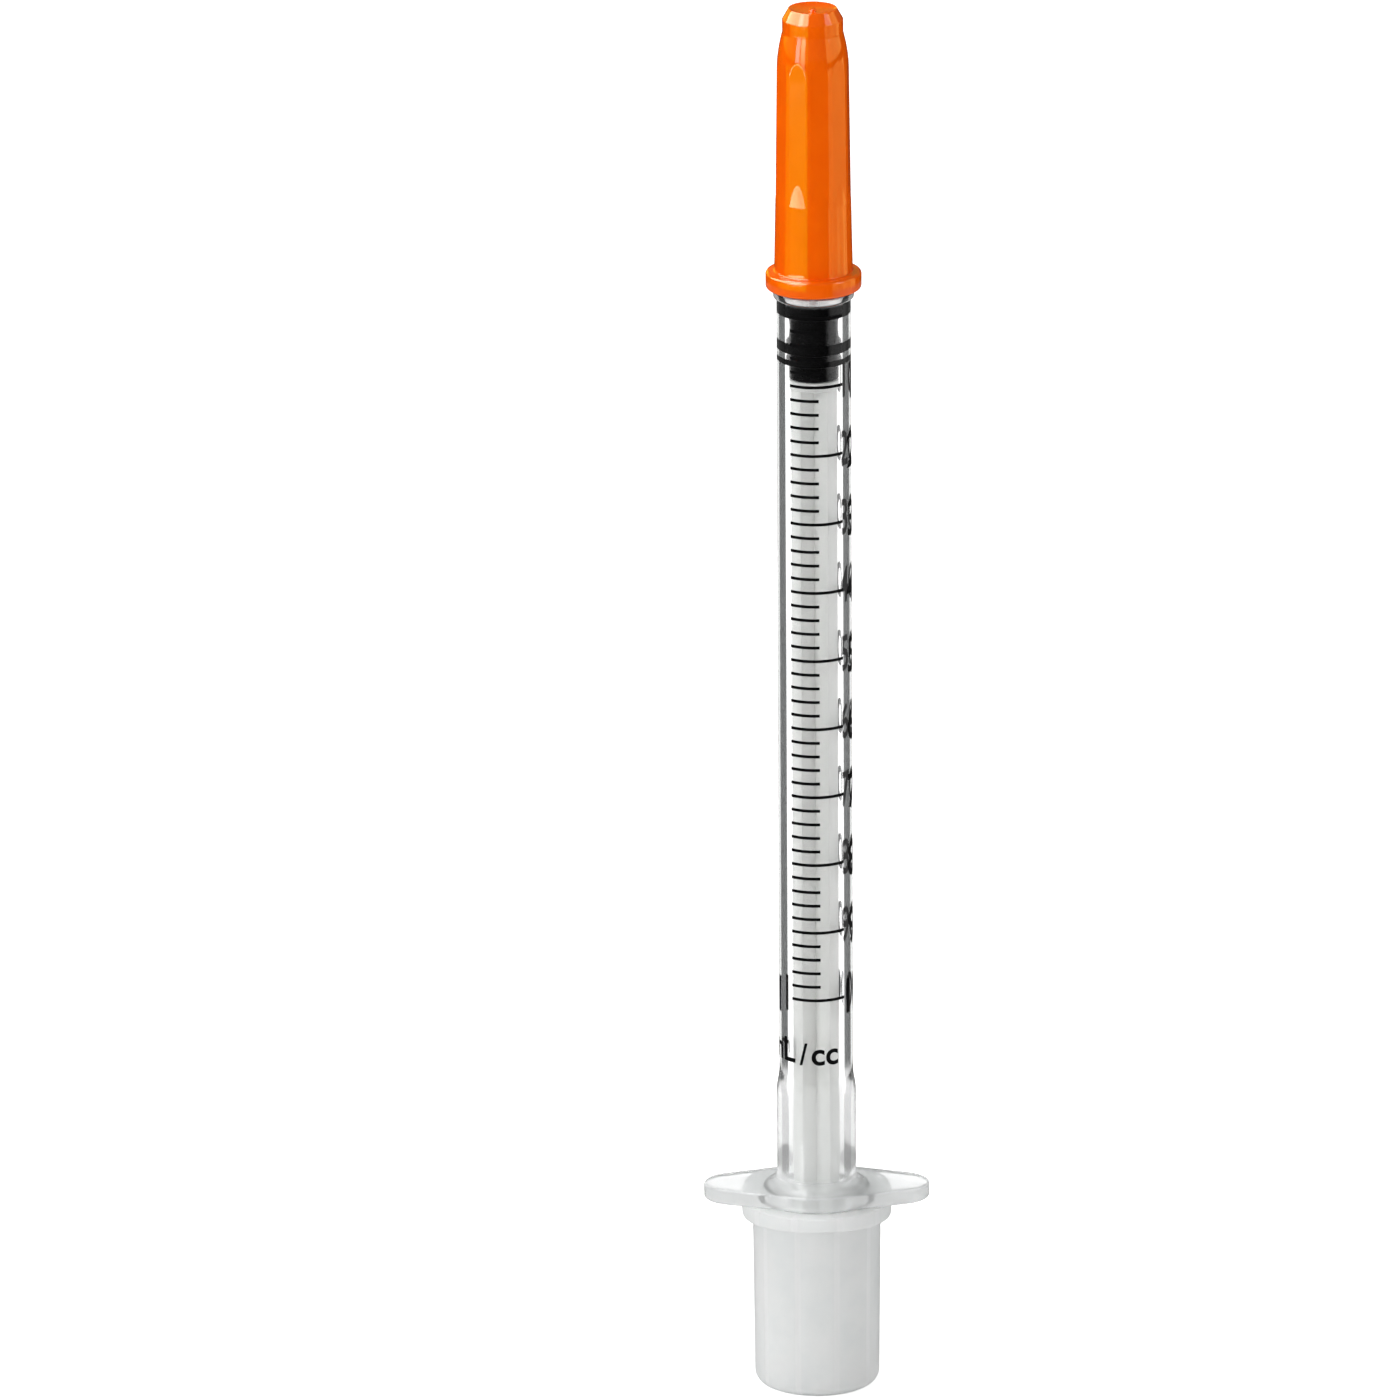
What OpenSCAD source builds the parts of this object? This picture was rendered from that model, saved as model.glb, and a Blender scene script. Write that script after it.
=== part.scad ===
// Capped insulin syringe, 1 mL, with a fixed needle.
// It stands on its plunger cap: Z = 0 is the underside of that cap and +Z runs up the barrel.
// The finger flange's long side lies along X, and -Y is the side that the scale is read from.

/* [Barrel tube] */
// Bore that the stopper runs in
bore_d = 4.64; // [4.4:0.01:4.8]
// Wall of the graduated tube
tube_wall = 0.755; // [0.65:0.005:0.95]
// Plain tube left between the foot's taper and the last line of the scale
below_scale_l = 6.63; // [2:0.01:12]
// Extra wall on the thicker foot of the tube, above the flange
foot_step = 0.225; // [0.1:0.005:0.4]
// Height of the thicker foot above the flange
foot_h = 8.2; // [7:0.1:10]
// Height of the taper between the foot and the tube
foot_taper_h = 1.9; // [1:0.1:3]
// How much the open end of the bore widens, measured on the radius
mouth_step = 0.2; // [0.1:0.01:0.3]
// Height of the widened mouth above the flange
mouth_h = 2.1; // [1:0.1:3]
// Height of the lead-in cone above the mouth
mouth_taper_h = 0.35; // [0.2:0.05:0.8]

/* [Finger flange] */
// Overall width of the finger flange
flange_w = 18.85; // [16:0.05:22]
// Thickness of the finger flange
flange_t = 1.3; // [1:0.05:1.8]
// Diameter of the round middle of the flange
flange_mid_d = 9.7; // [9.2:0.1:11]
// Diameter of the rounded ends of the flange
flange_end_d = 4.8; // [3.6:0.1:6]
// Radius of the fillet between the flange and the tube's foot
flange_fillet_r = 1; // [0.4:0.05:1.2]

/* [Collar] */
// Outside diameter of the collar below the flange
collar_d = 8.8; // [8.4:0.05:9.2]
// Wall of the collar
collar_wall = 0.52; // [0.4:0.01:0.8]
// Height of the collar
collar_h = 5.3; // [3:0.1:7]
// Bevel on the collar's lower outer edge
collar_bevel = 0.25; // [0.1:0.05:0.35]

/* [Nose] */
// Thickness of the barrel's front wall, from the bore's end to the nose
front_wall_t = 0.85; // [0.85:0.05:1.6]
// Diameter of the stop ring that the needle shield rests on
ring_d = 6.7; // [6.4:0.05:7.2]
// Height of the stop ring
ring_h = 0.8; // [0.6:0.05:0.85]
// Rounding of the stop ring's edges
ring_round = 0.25; // [0.1:0.05:0.29]
// Diameter of the nose that holds the needle
nose_d = 4.8; // [4.4:0.05:5.1]
// Height of the nose above the stop ring
nose_h = 6.7; // [5:0.1:8]
// Rounding of the top of the nose
nose_round = 1.4; // [0.6:0.05:1.5]
// How much the skirt at the foot of the nose stands proud, on the radius
skirt_step = 0.1; // [0.05:0.01:0.15]
// Height of the skirt at the foot of the nose
skirt_h = 1.5; // [1:0.1:2]
// Diameter of the channel from the bore to the needle
channel_d = 0.6; // [0.5:0.05:0.9]

/* [Needle] */
// Outside diameter of the steel needle
needle_d = 0.3; // [0.25:0.01:0.36]
// Inside diameter of the steel needle
needle_bore_d = 0.15; // [0.1:0.01:0.18]
// Length of needle beyond the nose
needle_l = 13.7; // [8:0.1:15]
// Length of needle held inside the nose
needle_root_l = 6.4; // [4:0.1:6.5]
// Angle of the bevel ground on the tip, in degrees
bevel_angle = 15; // [12:1:25]
// Diameter of the adhesive bead on top of the nose
glue_d = 1.4; // [1:0.05:1.8]
// Depth of the conical well that the adhesive fills
glue_well_h = 0.9; // [0.5:0.05:1.2]
// Height of the adhesive bead above the nose
glue_rise_h = 0.6; // [0.3:0.05:1]
// Diameter of the adhesive where it ends, below and above the bead
glue_tip_d = 0.5; // [0.42:0.01:0.6]

/* [Stopper] */
// Height of the front sealing rib
front_rib_h = 1.23; // [0.7:0.01:1.4]
// Length of the waist between the front and middle ribs
waist_l = 2.05; // [1.5:0.05:2.6]
// Diameter of the waist at its narrowest
waist_d = 4; // [3.7:0.05:4.4]
// Height of the middle sealing rib
mid_rib_h = 1; // [0.7:0.05:1.4]
// Width of the groove between the middle and rear ribs
groove_l = 0.4; // [0.3:0.05:0.6]
// Diameter at the bottom of that groove
groove_d = 4.2; // [4:0.02:4.4]
// Height of the rear sealing rib
rear_rib_h = 0.6; // [0.4:0.05:0.9]
// Length of the stopper's tail below the rear rib
tail_l = 1.3; // [1:0.05:1.8]
// Diameter of the tail
tail_d = 4.1; // [3.9:0.05:4.3]
// Rounding of the ribs' edges
rib_round = 0.12; // [0.06:0.01:0.19]
// How far the stopper's face bulges beyond its front rib
face_rise = 0.04; // [0.02:0.01:0.08]
// Gap between the front rib and the bore's front wall with the plunger home
home_gap = 0.12; // [0.1:0.01:0.6]

/* [Plunger rod] */
// Width across the rod's crossed fins
fin_span = 4.1; // [3.8:0.05:4.35]
// Thickness of each fin
fin_t = 1.05; // [0.8:0.05:1.4]
// Angle of the first fin round the rod, in degrees
fin_a = 45; // [0:5:85]
// Diameter of the thumb disc
disc_d = 8.3; // [7.6:0.1:8.6]
// Thickness of the thumb disc
disc_t = 0.65; // [0.5:0.05:1]
// Rounding of the thumb disc's edge
disc_round = 0.2; // [0.1:0.05:0.24]
// Height of the flange's underside above the thumb disc with the plunger home
thumb_h = 12.85; // [8:0.05:16]
// Thickness of the crown that pushes the stopper
crown_t = 0.8; // [0.5:0.05:1.2]
// Diameter of the neck between the crown and the head
neck_d = 1.8; // [1.5:0.05:2]
// Length of that neck
neck_l = 1.4; // [1.2:0.05:1.8]
// Diameter of the head that the stopper snaps over
head_d = 2.6; // [2.3:0.05:2.9]
// Length of the head
head_l = 1.8; // [1.2:0.05:2]

/* [Printed scale] */
// Plunger travel that delivers the full scale
scale_l = 59.1; // [56:0.1:62]
// How far the zero line stands below the stopper's front edge with the plunger home
zero_drop = 0.7; // [0:0.05:1.2]
// Number of divisions on the scale
divisions = 50; // [20:10:100]
// Divisions from one long line to the next
long_every = 5; // [2:1:10]
// Width of a printed line
line_w = 0.25; // [0.15:0.01:0.4]
// Thickness of the ink
ink_t = 0.02; // [0.01:0.005:0.04]
// Angle round the tube where every line starts, in degrees from the reading side
line_start_a = -40; // [-60:1:-20]
// Angle that a short line covers, in degrees
short_line_a = 47; // [30:1:60]
// Angle that a long line covers, in degrees
long_line_a = 89; // [61:1:110]

/* [Needle shield] */
// Diameter of the ring at the shield's foot
shield_ring_d = 7.94; // [7.3:0.02:8.6]
// Height of the ring at the shield's foot
shield_ring_h = 1.5; // [1:0.1:2.2]
// Rounding of that ring's edges
shield_ring_round = 0.3; // [0.1:0.05:0.45]
// Diameter of the shield just above its ring
shield_low_d = 6.48; // [6.3:0.02:6.8]
// Diameter of the shield where its grip flats start
shield_mid_d = 6.26; // [6.1:0.02:6.6]
// Diameter of the shield at its shoulder
shield_high_d = 6; // [5.6:0.02:6.1]
// Diameter of the neck at the closed end
shield_neck_d = 5.04; // [4.6:0.02:5.4]
// Height of the plain part, from the foot to the grip flats
shield_plain_h = 7.55; // [6:0.05:9]
// Height of the cone that runs up from the plain part and dies out on the flats
shield_ramp_h = 1.9; // [0.8:0.1:2.4]
// Height of the curved shoulder below the neck
shoulder_h = 3.6; // [2.5:0.1:4.5]
// Height of the neck, from the shoulder to the closed end
shield_neck_h = 2; // [1.5:0.1:2.3]
// Number of grip flats round the shield
flat_count = 10; // [6:1:11]
// Depth of each flat at its middle
flat_depth = 0.09; // [0.05:0.01:0.11]
// Angle of the first flat from the reading side, in degrees
flat_a = 10; // [0:1:35]
// Diameter of the hollow round the needle
shield_core_d = 3.6; // [3:0.1:3.9]
// Free space between the needle's tip and the closed end
tip_gap = 1.15; // [0.6:0.05:2.5]
// Thickness of the closed end
shield_end_t = 2.4; // [2.4:0.1:4]
// Rounding of the closed end, measured inwards
end_round = 0.5; // [0.2:0.05:0.8]
// Rounding of the closed end, measured along the axis
end_round_h = 0.9; // [0.5:0.05:1.4]
// Depth of the dish in the closed end
dish_h = 0.3; // [0.1:0.05:0.5]
// Diameter of the moulding gate's nub in that dish
nub_d = 0.55; // [0.3:0.05:0.9]
// Height of that nub
nub_h = 0.25; // [0.1:0.05:0.4]

/* [Plunger cap] */
// Wall of the plunger cap
cap_wall = 0.75; // [0.5:0.05:1.2]
// Thickness of the cap's floor
cap_floor_t = 1; // [0.8:0.1:2]
// Free height between the cap's floor and the thumb disc
disc_gap = 1.7; // [0.4:0.1:3]
// How much the cap narrows from its rim to its floor, on the radius
cap_draft = 0.14; // [0:0.005:0.2]
// Rounding of the cap's lower edge
cap_round = 1; // [0.15:0.05:1.1]
// How far the lip stands out from the cap, on the radius
lip_step = 0.89; // [0.4:0.01:1.2]
// Height of the lip at its sides
lip_h = 1.7; // [1.5:0.1:2.5]
// How much less the lip hangs down at the front and back than at its sides
lip_arch_h = 0.55; // [0.2:0.05:0.9]
// Rounding of the lip's lower edge
lip_round = 0.5; // [0.2:0.05:0.7]
// Number of gripping ribs inside the cap
grip_rib_count = 10; // [4:1:16]
// How far each gripping rib stands in from the wall
grip_rib_t = 0.15; // [0.1:0.01:0.25]
// Width of each gripping rib
grip_rib_w = 0.5; // [0.3:0.05:0.9]

/* [Clearances] */
// Radial clearance between the stopper's ribs and the bore
stopper_clear = 0.03; // [0.02:0.005:0.08]
// Radial clearance of the needle shield on the nose
shield_clear = 0.04; // [0.02:0.005:0.08]
// Radial clearance of the cap's ribs on the collar
cap_clear = 0.05; // [0.02:0.005:0.08]
// Clearance all round the rod's head inside the stopper
head_clear = 0.05; // [0.03:0.005:0.09]
// Clearance between faces that rest on each other
seat_clear = 0.05; // [0.02:0.005:0.09]
// Clearance round the needle and its adhesive
bond_clear = 0.01; // [0.005:0.001:0.015]

/* [Hidden] */
$fn = 96;

// How far a cut runs past the face that it opens
overrun = flange_t;
// Segments along a rounded edge, and along a long curve
round_steps = 4;
curve_steps = 10;
// The direction that the scale is read from, as an angle from +X
reading_a = -90;
// How far down the waist it is narrowest
waist_mid_share = 0.48;

// Radii
bore_r = bore_d / 2;
tube_r = bore_r + tube_wall;
foot_r = tube_r + foot_step;
mouth_r = bore_r + mouth_step;
collar_r = collar_d / 2;
collar_in_r = collar_r - collar_wall;
ring_r = ring_d / 2;
nose_r = nose_d / 2;
skirt_r = nose_r + skirt_step;
needle_r = needle_d / 2;
rib_r = bore_r - stopper_clear;
cap_grip_r = collar_r + cap_clear;
cap_in_r = cap_grip_r + grip_rib_t;
cap_top_r = cap_in_r + cap_wall;
cap_low_r = cap_top_r - cap_draft;
lip_r = cap_top_r + lip_step;

// Bore length, from the top of the finger flange to the front wall
bore_l = foot_h + foot_taper_h + below_scale_l + scale_l + line_w + zero_drop + home_gap;

// Heights, from the underside of the plunger cap up
disc_z = cap_floor_t + disc_gap;
disc_top_z = disc_z + disc_t;
flange_z = disc_top_z + thumb_h;
deck_z = flange_z + flange_t;
collar_z = flange_z - collar_h;
wall_z = deck_z + bore_l;
nose_z = wall_z + front_wall_t;
ring_z = nose_z - ring_h;
nose_top_z = nose_z + nose_h;
needle_root_z = nose_top_z - needle_root_l;
tip_z = nose_top_z + needle_l;

// The stopper, measured down from its front rib
stopper_z = wall_z - home_gap;
stopper_l = front_rib_h + waist_l + mid_rib_h + groove_l + rear_rib_h + tail_l;
tail_z = stopper_z - stopper_l;
crown_z = tail_z - seat_clear;
head_z = crown_z + neck_l;
head_top_z = head_z + head_l;

// The needle shield, which rests on the stop ring
shield_z = nose_z + seat_clear;
core_end_z = tip_z + tip_gap;
shield_top_z = core_end_z + shield_end_t;
shield_neck_z = shield_top_z - shield_neck_h;
shoulder_z = shield_neck_z - shoulder_h;
flats_z = shield_z + shield_plain_h;
ramp_top_z = flats_z + shield_ramp_h;
core_z = nose_top_z + glue_rise_h * 2;

// The plunger cap, which meets the underside of the flange
cap_top_z = flange_z - seat_clear;

// Points along an arc about centre c, with its own radius in each direction
function arc(c, rx, rz, a0, a1) = [
    for (i = [0:round_steps])
        let (a = a0 + (a1 - a0) * i / round_steps)
            [c[0] + rx * cos(a), c[1] + rz * sin(a)]
];

// Radius of the shield's outside at the height z, along its straight grip
function grip_r(z) =
    let (t = (z - flats_z) / (shoulder_z - flats_z))
        (shield_mid_d + (shield_high_d - shield_mid_d) * t) / 2;

// A solid of revolution about Z from its half outline
module turned(outline) {
    rotate_extrude() polygon(outline);
}

// Flat outline of the finger flange: a round middle, two round ends and straight sides
module flange_outline() {
    mid_r = flange_mid_d / 2;
    end_r = flange_end_d / 2;
    end_x = flange_w / 2 - end_r;
    lean = asin((mid_r - end_r) / end_x);
    side = [
        [mid_r * sin(lean), mid_r * cos(lean)],
        [end_x + end_r * sin(lean), end_r * cos(lean)]
    ];
    circle(r = mid_r);
    for (side_x = [-1, 1]) translate([side_x * end_x, 0]) circle(r = end_r);
    polygon([
        side[0], side[1], [side[1][0], -side[1][1]], [side[0][0], -side[0][1]],
        -side[0], -side[1], [-side[1][0], side[1][1]], [-side[0][0], side[0][1]]
    ]);
}

// Outside of the barrel as one turned form, from the collar to the top of the nose
module barrel_outside() {
    mid_z = flange_z + flange_t / 2;
    fillet_r = foot_r + flange_fillet_r;
    turned(concat(
        [
            [0, collar_z],
            [collar_r - collar_bevel, collar_z],
            [collar_r, collar_z + collar_bevel],
            [collar_r, mid_z],
            [fillet_r, mid_z]
        ],
        arc([fillet_r, deck_z + flange_fillet_r], flange_fillet_r, flange_fillet_r, 270, 180),
        [
            [foot_r, deck_z + foot_h],
            [tube_r, deck_z + foot_h + foot_taper_h],
            [tube_r, ring_z]
        ],
        arc([ring_r - ring_round, ring_z + ring_round], ring_round, ring_round, -90, 0),
        arc([ring_r - ring_round, nose_z - ring_round], ring_round, ring_round, 0, 90),
        [
            [skirt_r, nose_z],
            [skirt_r, nose_z + skirt_h - skirt_step],
            [nose_r, nose_z + skirt_h]
        ],
        arc([nose_r - nose_round, nose_top_z - nose_round], nose_round, nose_round, 0, 90),
        [[0, nose_top_z]]
    ));
}

// Hollow of the barrel: the collar's inside, the widened mouth and the bore
module barrel_hollow() {
    turned([
        [0, collar_z - overrun],
        [collar_in_r, collar_z - overrun],
        [collar_in_r, flange_z],
        [mouth_r, flange_z],
        [mouth_r, deck_z + mouth_h],
        [bore_r, deck_z + mouth_h + mouth_taper_h],
        [bore_r, wall_z],
        [0, wall_z]
    ]);
}

// Way through the nose: the channel, the hole round the needle and the adhesive's well
module nose_passage() {
    hole_r = needle_r + bond_clear;
    turned([
        [0, wall_z - overrun],
        [channel_d / 2, wall_z - overrun],
        [channel_d / 2, needle_root_z],
        [hole_r, needle_root_z],
        [hole_r, nose_top_z - glue_well_h],
        [glue_tip_d / 2 + bond_clear, nose_top_z - glue_well_h],
        [glue_d / 2 + bond_clear, nose_top_z],
        [glue_d / 2 + bond_clear, nose_top_z + overrun],
        [0, nose_top_z + overrun]
    ]);
}

// Clear barrel: one moulding with the flange, the collar and the nose
module barrel() {
    color([0.86, 0.9, 0.93, 0.45])
        difference() {
            union() {
                barrel_outside();
                translate([0, 0, flange_z]) linear_extrude(flange_t) flange_outline();
            }
            barrel_hollow();
            nose_passage();
        }
}

// Black lines of the scale, printed on the tube, from zero at the nose down
module printed_scale() {
    zero_z = stopper_z - zero_drop - line_w;
    pitch = scale_l / divisions;
    color([0.05, 0.05, 0.06])
        for (i = [0:divisions])
            translate([0, 0, zero_z - i * pitch])
                rotate([0, 0, reading_a + line_start_a])
                    rotate_extrude(angle = i % long_every == 0 ? long_line_a : short_line_a)
                        translate([tube_r, 0]) square([ink_t, line_w]);
}

// Steel needle: a fine tube with a ground bevel at its tip
module needle() {
    bevel_l = needle_d / tan(bevel_angle);
    color([0.75, 0.76, 0.78])
        difference() {
            translate([0, 0, needle_root_z])
                cylinder(r = needle_r, h = tip_z - needle_root_z);
            translate([0, 0, needle_root_z - needle_d])
                cylinder(d = needle_bore_d, h = tip_z - needle_root_z + needle_d * 2);
            translate([needle_r, 0, tip_z])
                rotate([0, bevel_angle, 0])
                    translate([-needle_d * 2, -needle_d, -bevel_l * 2])
                        cube([needle_d * 2, needle_d * 2, bevel_l * 4]);
        }
}

// Adhesive that fills the well and climbs a little way up the needle
module needle_glue() {
    hole_r = needle_r + bond_clear;
    tip_r = glue_tip_d / 2;
    color([0.9, 0.93, 0.93, 0.6])
        turned(concat(
            [
                [hole_r, nose_top_z - glue_well_h + bond_clear],
                [tip_r, nose_top_z - glue_well_h + bond_clear],
                [glue_d / 2, nose_top_z]
            ],
            arc([glue_d / 2, nose_top_z + glue_rise_h], glue_d / 2 - tip_r, glue_rise_h, 270, 180),
            [[hole_r, nose_top_z + glue_rise_h]]
        ));
}

// Outline of one sealing rib whose upper edge is at top_z
function rib(top_z, h) = concat(
    arc([rib_r - rib_round, top_z - rib_round], rib_round, rib_round, 90, 0),
    arc([rib_r - rib_round, top_z - h + rib_round], rib_round, rib_round, 0, -90)
);

// Black rubber stopper: three sealing ribs, a waist and a tail with the head's socket
module stopper() {
    mid_top_z = stopper_z - front_rib_h - waist_l;
    rear_top_z = mid_top_z - mid_rib_h - groove_l;
    waist_z = stopper_z - front_rib_h - waist_l * waist_mid_share;
    waist_edge_r = rib_r - rib_round;
    color([0.1, 0.1, 0.11])
        difference() {
            turned(concat(
                [[0, stopper_z + face_rise]],
                rib(stopper_z, front_rib_h),
                arc(
                    [waist_edge_r, waist_z], waist_edge_r - waist_d / 2,
                    stopper_z - front_rib_h - waist_z, 90, 180
                ),
                arc([waist_edge_r, waist_z], waist_edge_r - waist_d / 2, waist_z - mid_top_z, 180, 270),
                rib(mid_top_z, mid_rib_h),
                [
                    [groove_d / 2, mid_top_z - mid_rib_h],
                    [groove_d / 2, rear_top_z]
                ],
                rib(rear_top_z, rear_rib_h),
                [
                    [tail_d / 2, rear_top_z - rear_rib_h],
                    [tail_d / 2, tail_z],
                    [0, tail_z]
                ]
            ));
            turned([
                [0, tail_z - overrun],
                [neck_d / 2 + head_clear, tail_z - overrun],
                [neck_d / 2 + head_clear, head_z - head_clear],
                [head_d / 2 + head_clear, head_z - head_clear],
                [head_d / 2 + head_clear, head_z + head_l / 2],
                [neck_d / 2 + head_clear, head_top_z + head_clear],
                [0, head_top_z + head_clear]
            ]);
        }
}

// White plunger rod: crossed fins, a thumb disc, and the crown, neck and head at the stopper
module plunger_rod() {
    fin_r = fin_span / 2;
    shaft_top_z = crown_z - crown_t;
    color([0.95, 0.95, 0.95])
        union() {
            turned(concat(
                [[0, disc_z]],
                arc([disc_d / 2 - disc_round, disc_z + disc_round], disc_round, disc_round, -90, 0),
                arc([disc_d / 2 - disc_round, disc_top_z - disc_round], disc_round, disc_round, 0, 90),
                [[0, disc_top_z]]
            ));
            intersection() {
                translate([0, 0, disc_z + disc_t / 2])
                    cylinder(r = fin_r, h = shaft_top_z + crown_t / 2 - disc_z - disc_t / 2);
                for (turn = [0, 90])
                    rotate([0, 0, fin_a + turn])
                        translate([-fin_span, -fin_t / 2, 0])
                            cube([fin_span * 2, fin_t, crown_z]);
            }
            turned([
                [0, shaft_top_z],
                [fin_r, shaft_top_z],
                [fin_r, crown_z],
                [neck_d / 2, crown_z],
                [neck_d / 2, head_z],
                [head_d / 2, head_z],
                [head_d / 2, head_z + head_l / 2],
                [neck_d / 2, head_top_z],
                [0, head_top_z]
            ]);
        }
}

// Cut that makes one grip flat, from the plain part up
module flat_cut() {
    reach = shield_low_d;
    high_r = grip_r(shoulder_z) - flat_depth;
    rotate([90, 0, 0])
        translate([0, 0, -reach / 2])
            linear_extrude(reach)
                polygon([
                    [grip_r(flats_z) - flat_depth, flats_z],
                    [high_r, shoulder_z],
                    [high_r, shield_top_z],
                    [reach, shield_top_z],
                    [reach, flats_z]
                ]);
}

// Outside of the needle shield before its flats are cut
module shield_outside() {
    ring_out_r = shield_ring_d / 2;
    bend = shield_ring_round;
    high_r = shield_high_d / 2;
    end_r = shield_neck_d / 2;
    turned(concat(
        [[0, shield_z]],
        arc([ring_out_r - bend, shield_z + bend], bend, bend, -90, 0),
        arc([ring_out_r - bend, shield_z + shield_ring_h - bend], bend, bend, 0, 90),
        [
            [shield_low_d / 2, shield_z + shield_ring_h],
            [shield_mid_d / 2, flats_z]
        ],
        [
            for (i = [0:curve_steps])
                let (t = i / curve_steps)
                    [high_r - (high_r - end_r) * t * t, shoulder_z + shoulder_h * t]
        ],
        arc([end_r - end_round, shield_top_z - end_round_h], end_round, end_round_h, 0, 90),
        [[0, shield_top_z]]
    ));
}

// Cone that runs from the plain part up to the flats
module flat_ramp() {
    turned([
        [0, flats_z],
        [grip_r(flats_z), flats_z],
        [grip_r(ramp_top_z) - flat_depth, ramp_top_z],
        [0, ramp_top_z]
    ]);
}

// Orange needle shield: hollow, with grip flats and a closed end
module needle_shield() {
    dish_r = shield_neck_d / 2 - end_round;
    socket_r = skirt_r + shield_clear;
    color([0.95, 0.45, 0.02])
        difference() {
            union() {
                difference() {
                    shield_outside();
                    for (i = [0:flat_count - 1])
                        rotate([0, 0, reading_a + flat_a + i * 360 / flat_count])
                            flat_cut();
                }
                flat_ramp();
            }
            turned([
                [0, shield_z - overrun],
                [socket_r, shield_z - overrun],
                [socket_r, nose_z + skirt_h],
                [nose_r + shield_clear, nose_z + skirt_h + skirt_step],
                [nose_r + shield_clear, nose_top_z],
                [shield_core_d / 2, core_z],
                [shield_core_d / 2, core_end_z],
                [0, core_end_z]
            ]);
            turned([
                [0, shield_top_z + overrun],
                [dish_r, shield_top_z + overrun],
                [dish_r, shield_top_z],
                [nub_d, shield_top_z - dish_h],
                [nub_d / 2, shield_top_z - dish_h],
                [nub_d / 2, shield_top_z - dish_h + nub_h],
                [0, shield_top_z - dish_h + nub_h]
            ]);
        }
}

// Outside of the plunger cap below its lip: a drafted cup with a round lower edge
module cap_outside() {
    turned(concat(
        [[0, 0]],
        arc([cap_low_r - cap_round, cap_round], cap_round, cap_round, -90, 0),
        [
            [cap_top_r, cap_top_z - lip_h],
            [cap_top_r, cap_top_z],
            [0, cap_top_z]
        ]
    ));
}

// Lip round the cap's rim, its underside arched across the front and the back
module cap_lip() {
    lip_z = cap_top_z - lip_h;
    arch_r = (lip_r * lip_r + lip_arch_h * lip_arch_h) / (lip_arch_h * 2);
    difference() {
        turned(concat(
            [[0, lip_z]],
            arc([lip_r - lip_round, lip_z + lip_round], lip_round, lip_round, -90, 0),
            [
                [lip_r, cap_top_z],
                [0, cap_top_z]
            ]
        ));
        translate([0, 0, lip_z + lip_arch_h - arch_r])
            rotate([90, 0, 0])
                cylinder(r = arch_r, h = lip_r * 3, center = true);
    }
}

// White plunger cap: a cup over the thumb disc whose inner ribs grip the collar
module plunger_cap() {
    color([0.93, 0.94, 0.93, 0.8])
        union() {
            difference() {
                union() {
                    cap_outside();
                    cap_lip();
                }
                translate([0, 0, cap_floor_t])
                    cylinder(r = cap_in_r, h = cap_top_z);
            }
            for (i = [0:grip_rib_count - 1])
                rotate([0, 0, reading_a + (i + 1 / 2) * 360 / grip_rib_count])
                    translate([cap_grip_r, -grip_rib_w / 2, cap_floor_t / 2])
                        cube([
                            grip_rib_t + cap_wall / 2,
                            grip_rib_w,
                            cap_top_z - cap_floor_t / 2 - cap_wall
                        ]);
        }
}

barrel();
printed_scale();
needle();
needle_glue();
stopper();
plunger_rod();
needle_shield();
plunger_cap();
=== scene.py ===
"""Dresses the capped insulin syringe: its moulded plastics, rubber, steel, ink, and the studio round it.

Lengths are in millimetres in every class and turn to metres where a mesh or a lamp is made.
The frame is that of the CAD model: Z = 0 is the underside of the plunger cap, +Z runs up the
barrel, X is the long side of the finger flange and the scale is read from -Y.
"""

import logging
import math
from dataclasses import dataclass, field
from enum import Enum
from typing import Any, Iterable, Sequence

import bmesh
import bpy
import numpy as np
from mathutils import Euler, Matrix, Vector


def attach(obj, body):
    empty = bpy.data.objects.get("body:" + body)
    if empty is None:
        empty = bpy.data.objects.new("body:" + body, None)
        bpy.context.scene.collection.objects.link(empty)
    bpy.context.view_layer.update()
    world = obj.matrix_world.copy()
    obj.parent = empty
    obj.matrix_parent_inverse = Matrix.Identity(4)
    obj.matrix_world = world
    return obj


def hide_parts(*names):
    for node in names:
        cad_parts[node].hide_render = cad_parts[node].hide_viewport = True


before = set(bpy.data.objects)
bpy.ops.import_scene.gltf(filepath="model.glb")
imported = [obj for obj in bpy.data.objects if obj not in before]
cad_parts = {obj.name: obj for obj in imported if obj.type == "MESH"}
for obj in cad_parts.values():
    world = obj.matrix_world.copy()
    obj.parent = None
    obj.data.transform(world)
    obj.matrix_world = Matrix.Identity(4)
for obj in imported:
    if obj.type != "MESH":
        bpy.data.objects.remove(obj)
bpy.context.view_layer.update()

log = logging.getLogger("syringe")

MM = 0.001
SHARP_FROM = 32.0
NOISE_LOW, NOISE_HIGH = 0.3, 0.7
Colour = tuple[float, float, float, float]
Point = tuple[float, float]
Node, Tree, Object = bpy.types.Node, bpy.types.NodeTree, bpy.types.Object
Link = Node | tuple[Node, str | int]
WHITE: Colour = (1.0, 1.0, 1.0, 1.0)


class Body(Enum):
    """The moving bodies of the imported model."""

    BARREL = "barrel_body"
    STOPPER = "stopper_body"
    ROD = "rod_body"
    SHIELD = "shield_body"
    CAP = "cap_body"


class Slot(Enum):
    """The record's material slot names for the barrel, ink, rubber, rod, shield and cap."""

    BARREL = "clear_barrel"
    INK = "black_ink"
    RUBBER = "black_rubber"
    ROD = "white_rod"
    SHIELD = "orange_shield"
    CAP = "white_cap"


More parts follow.
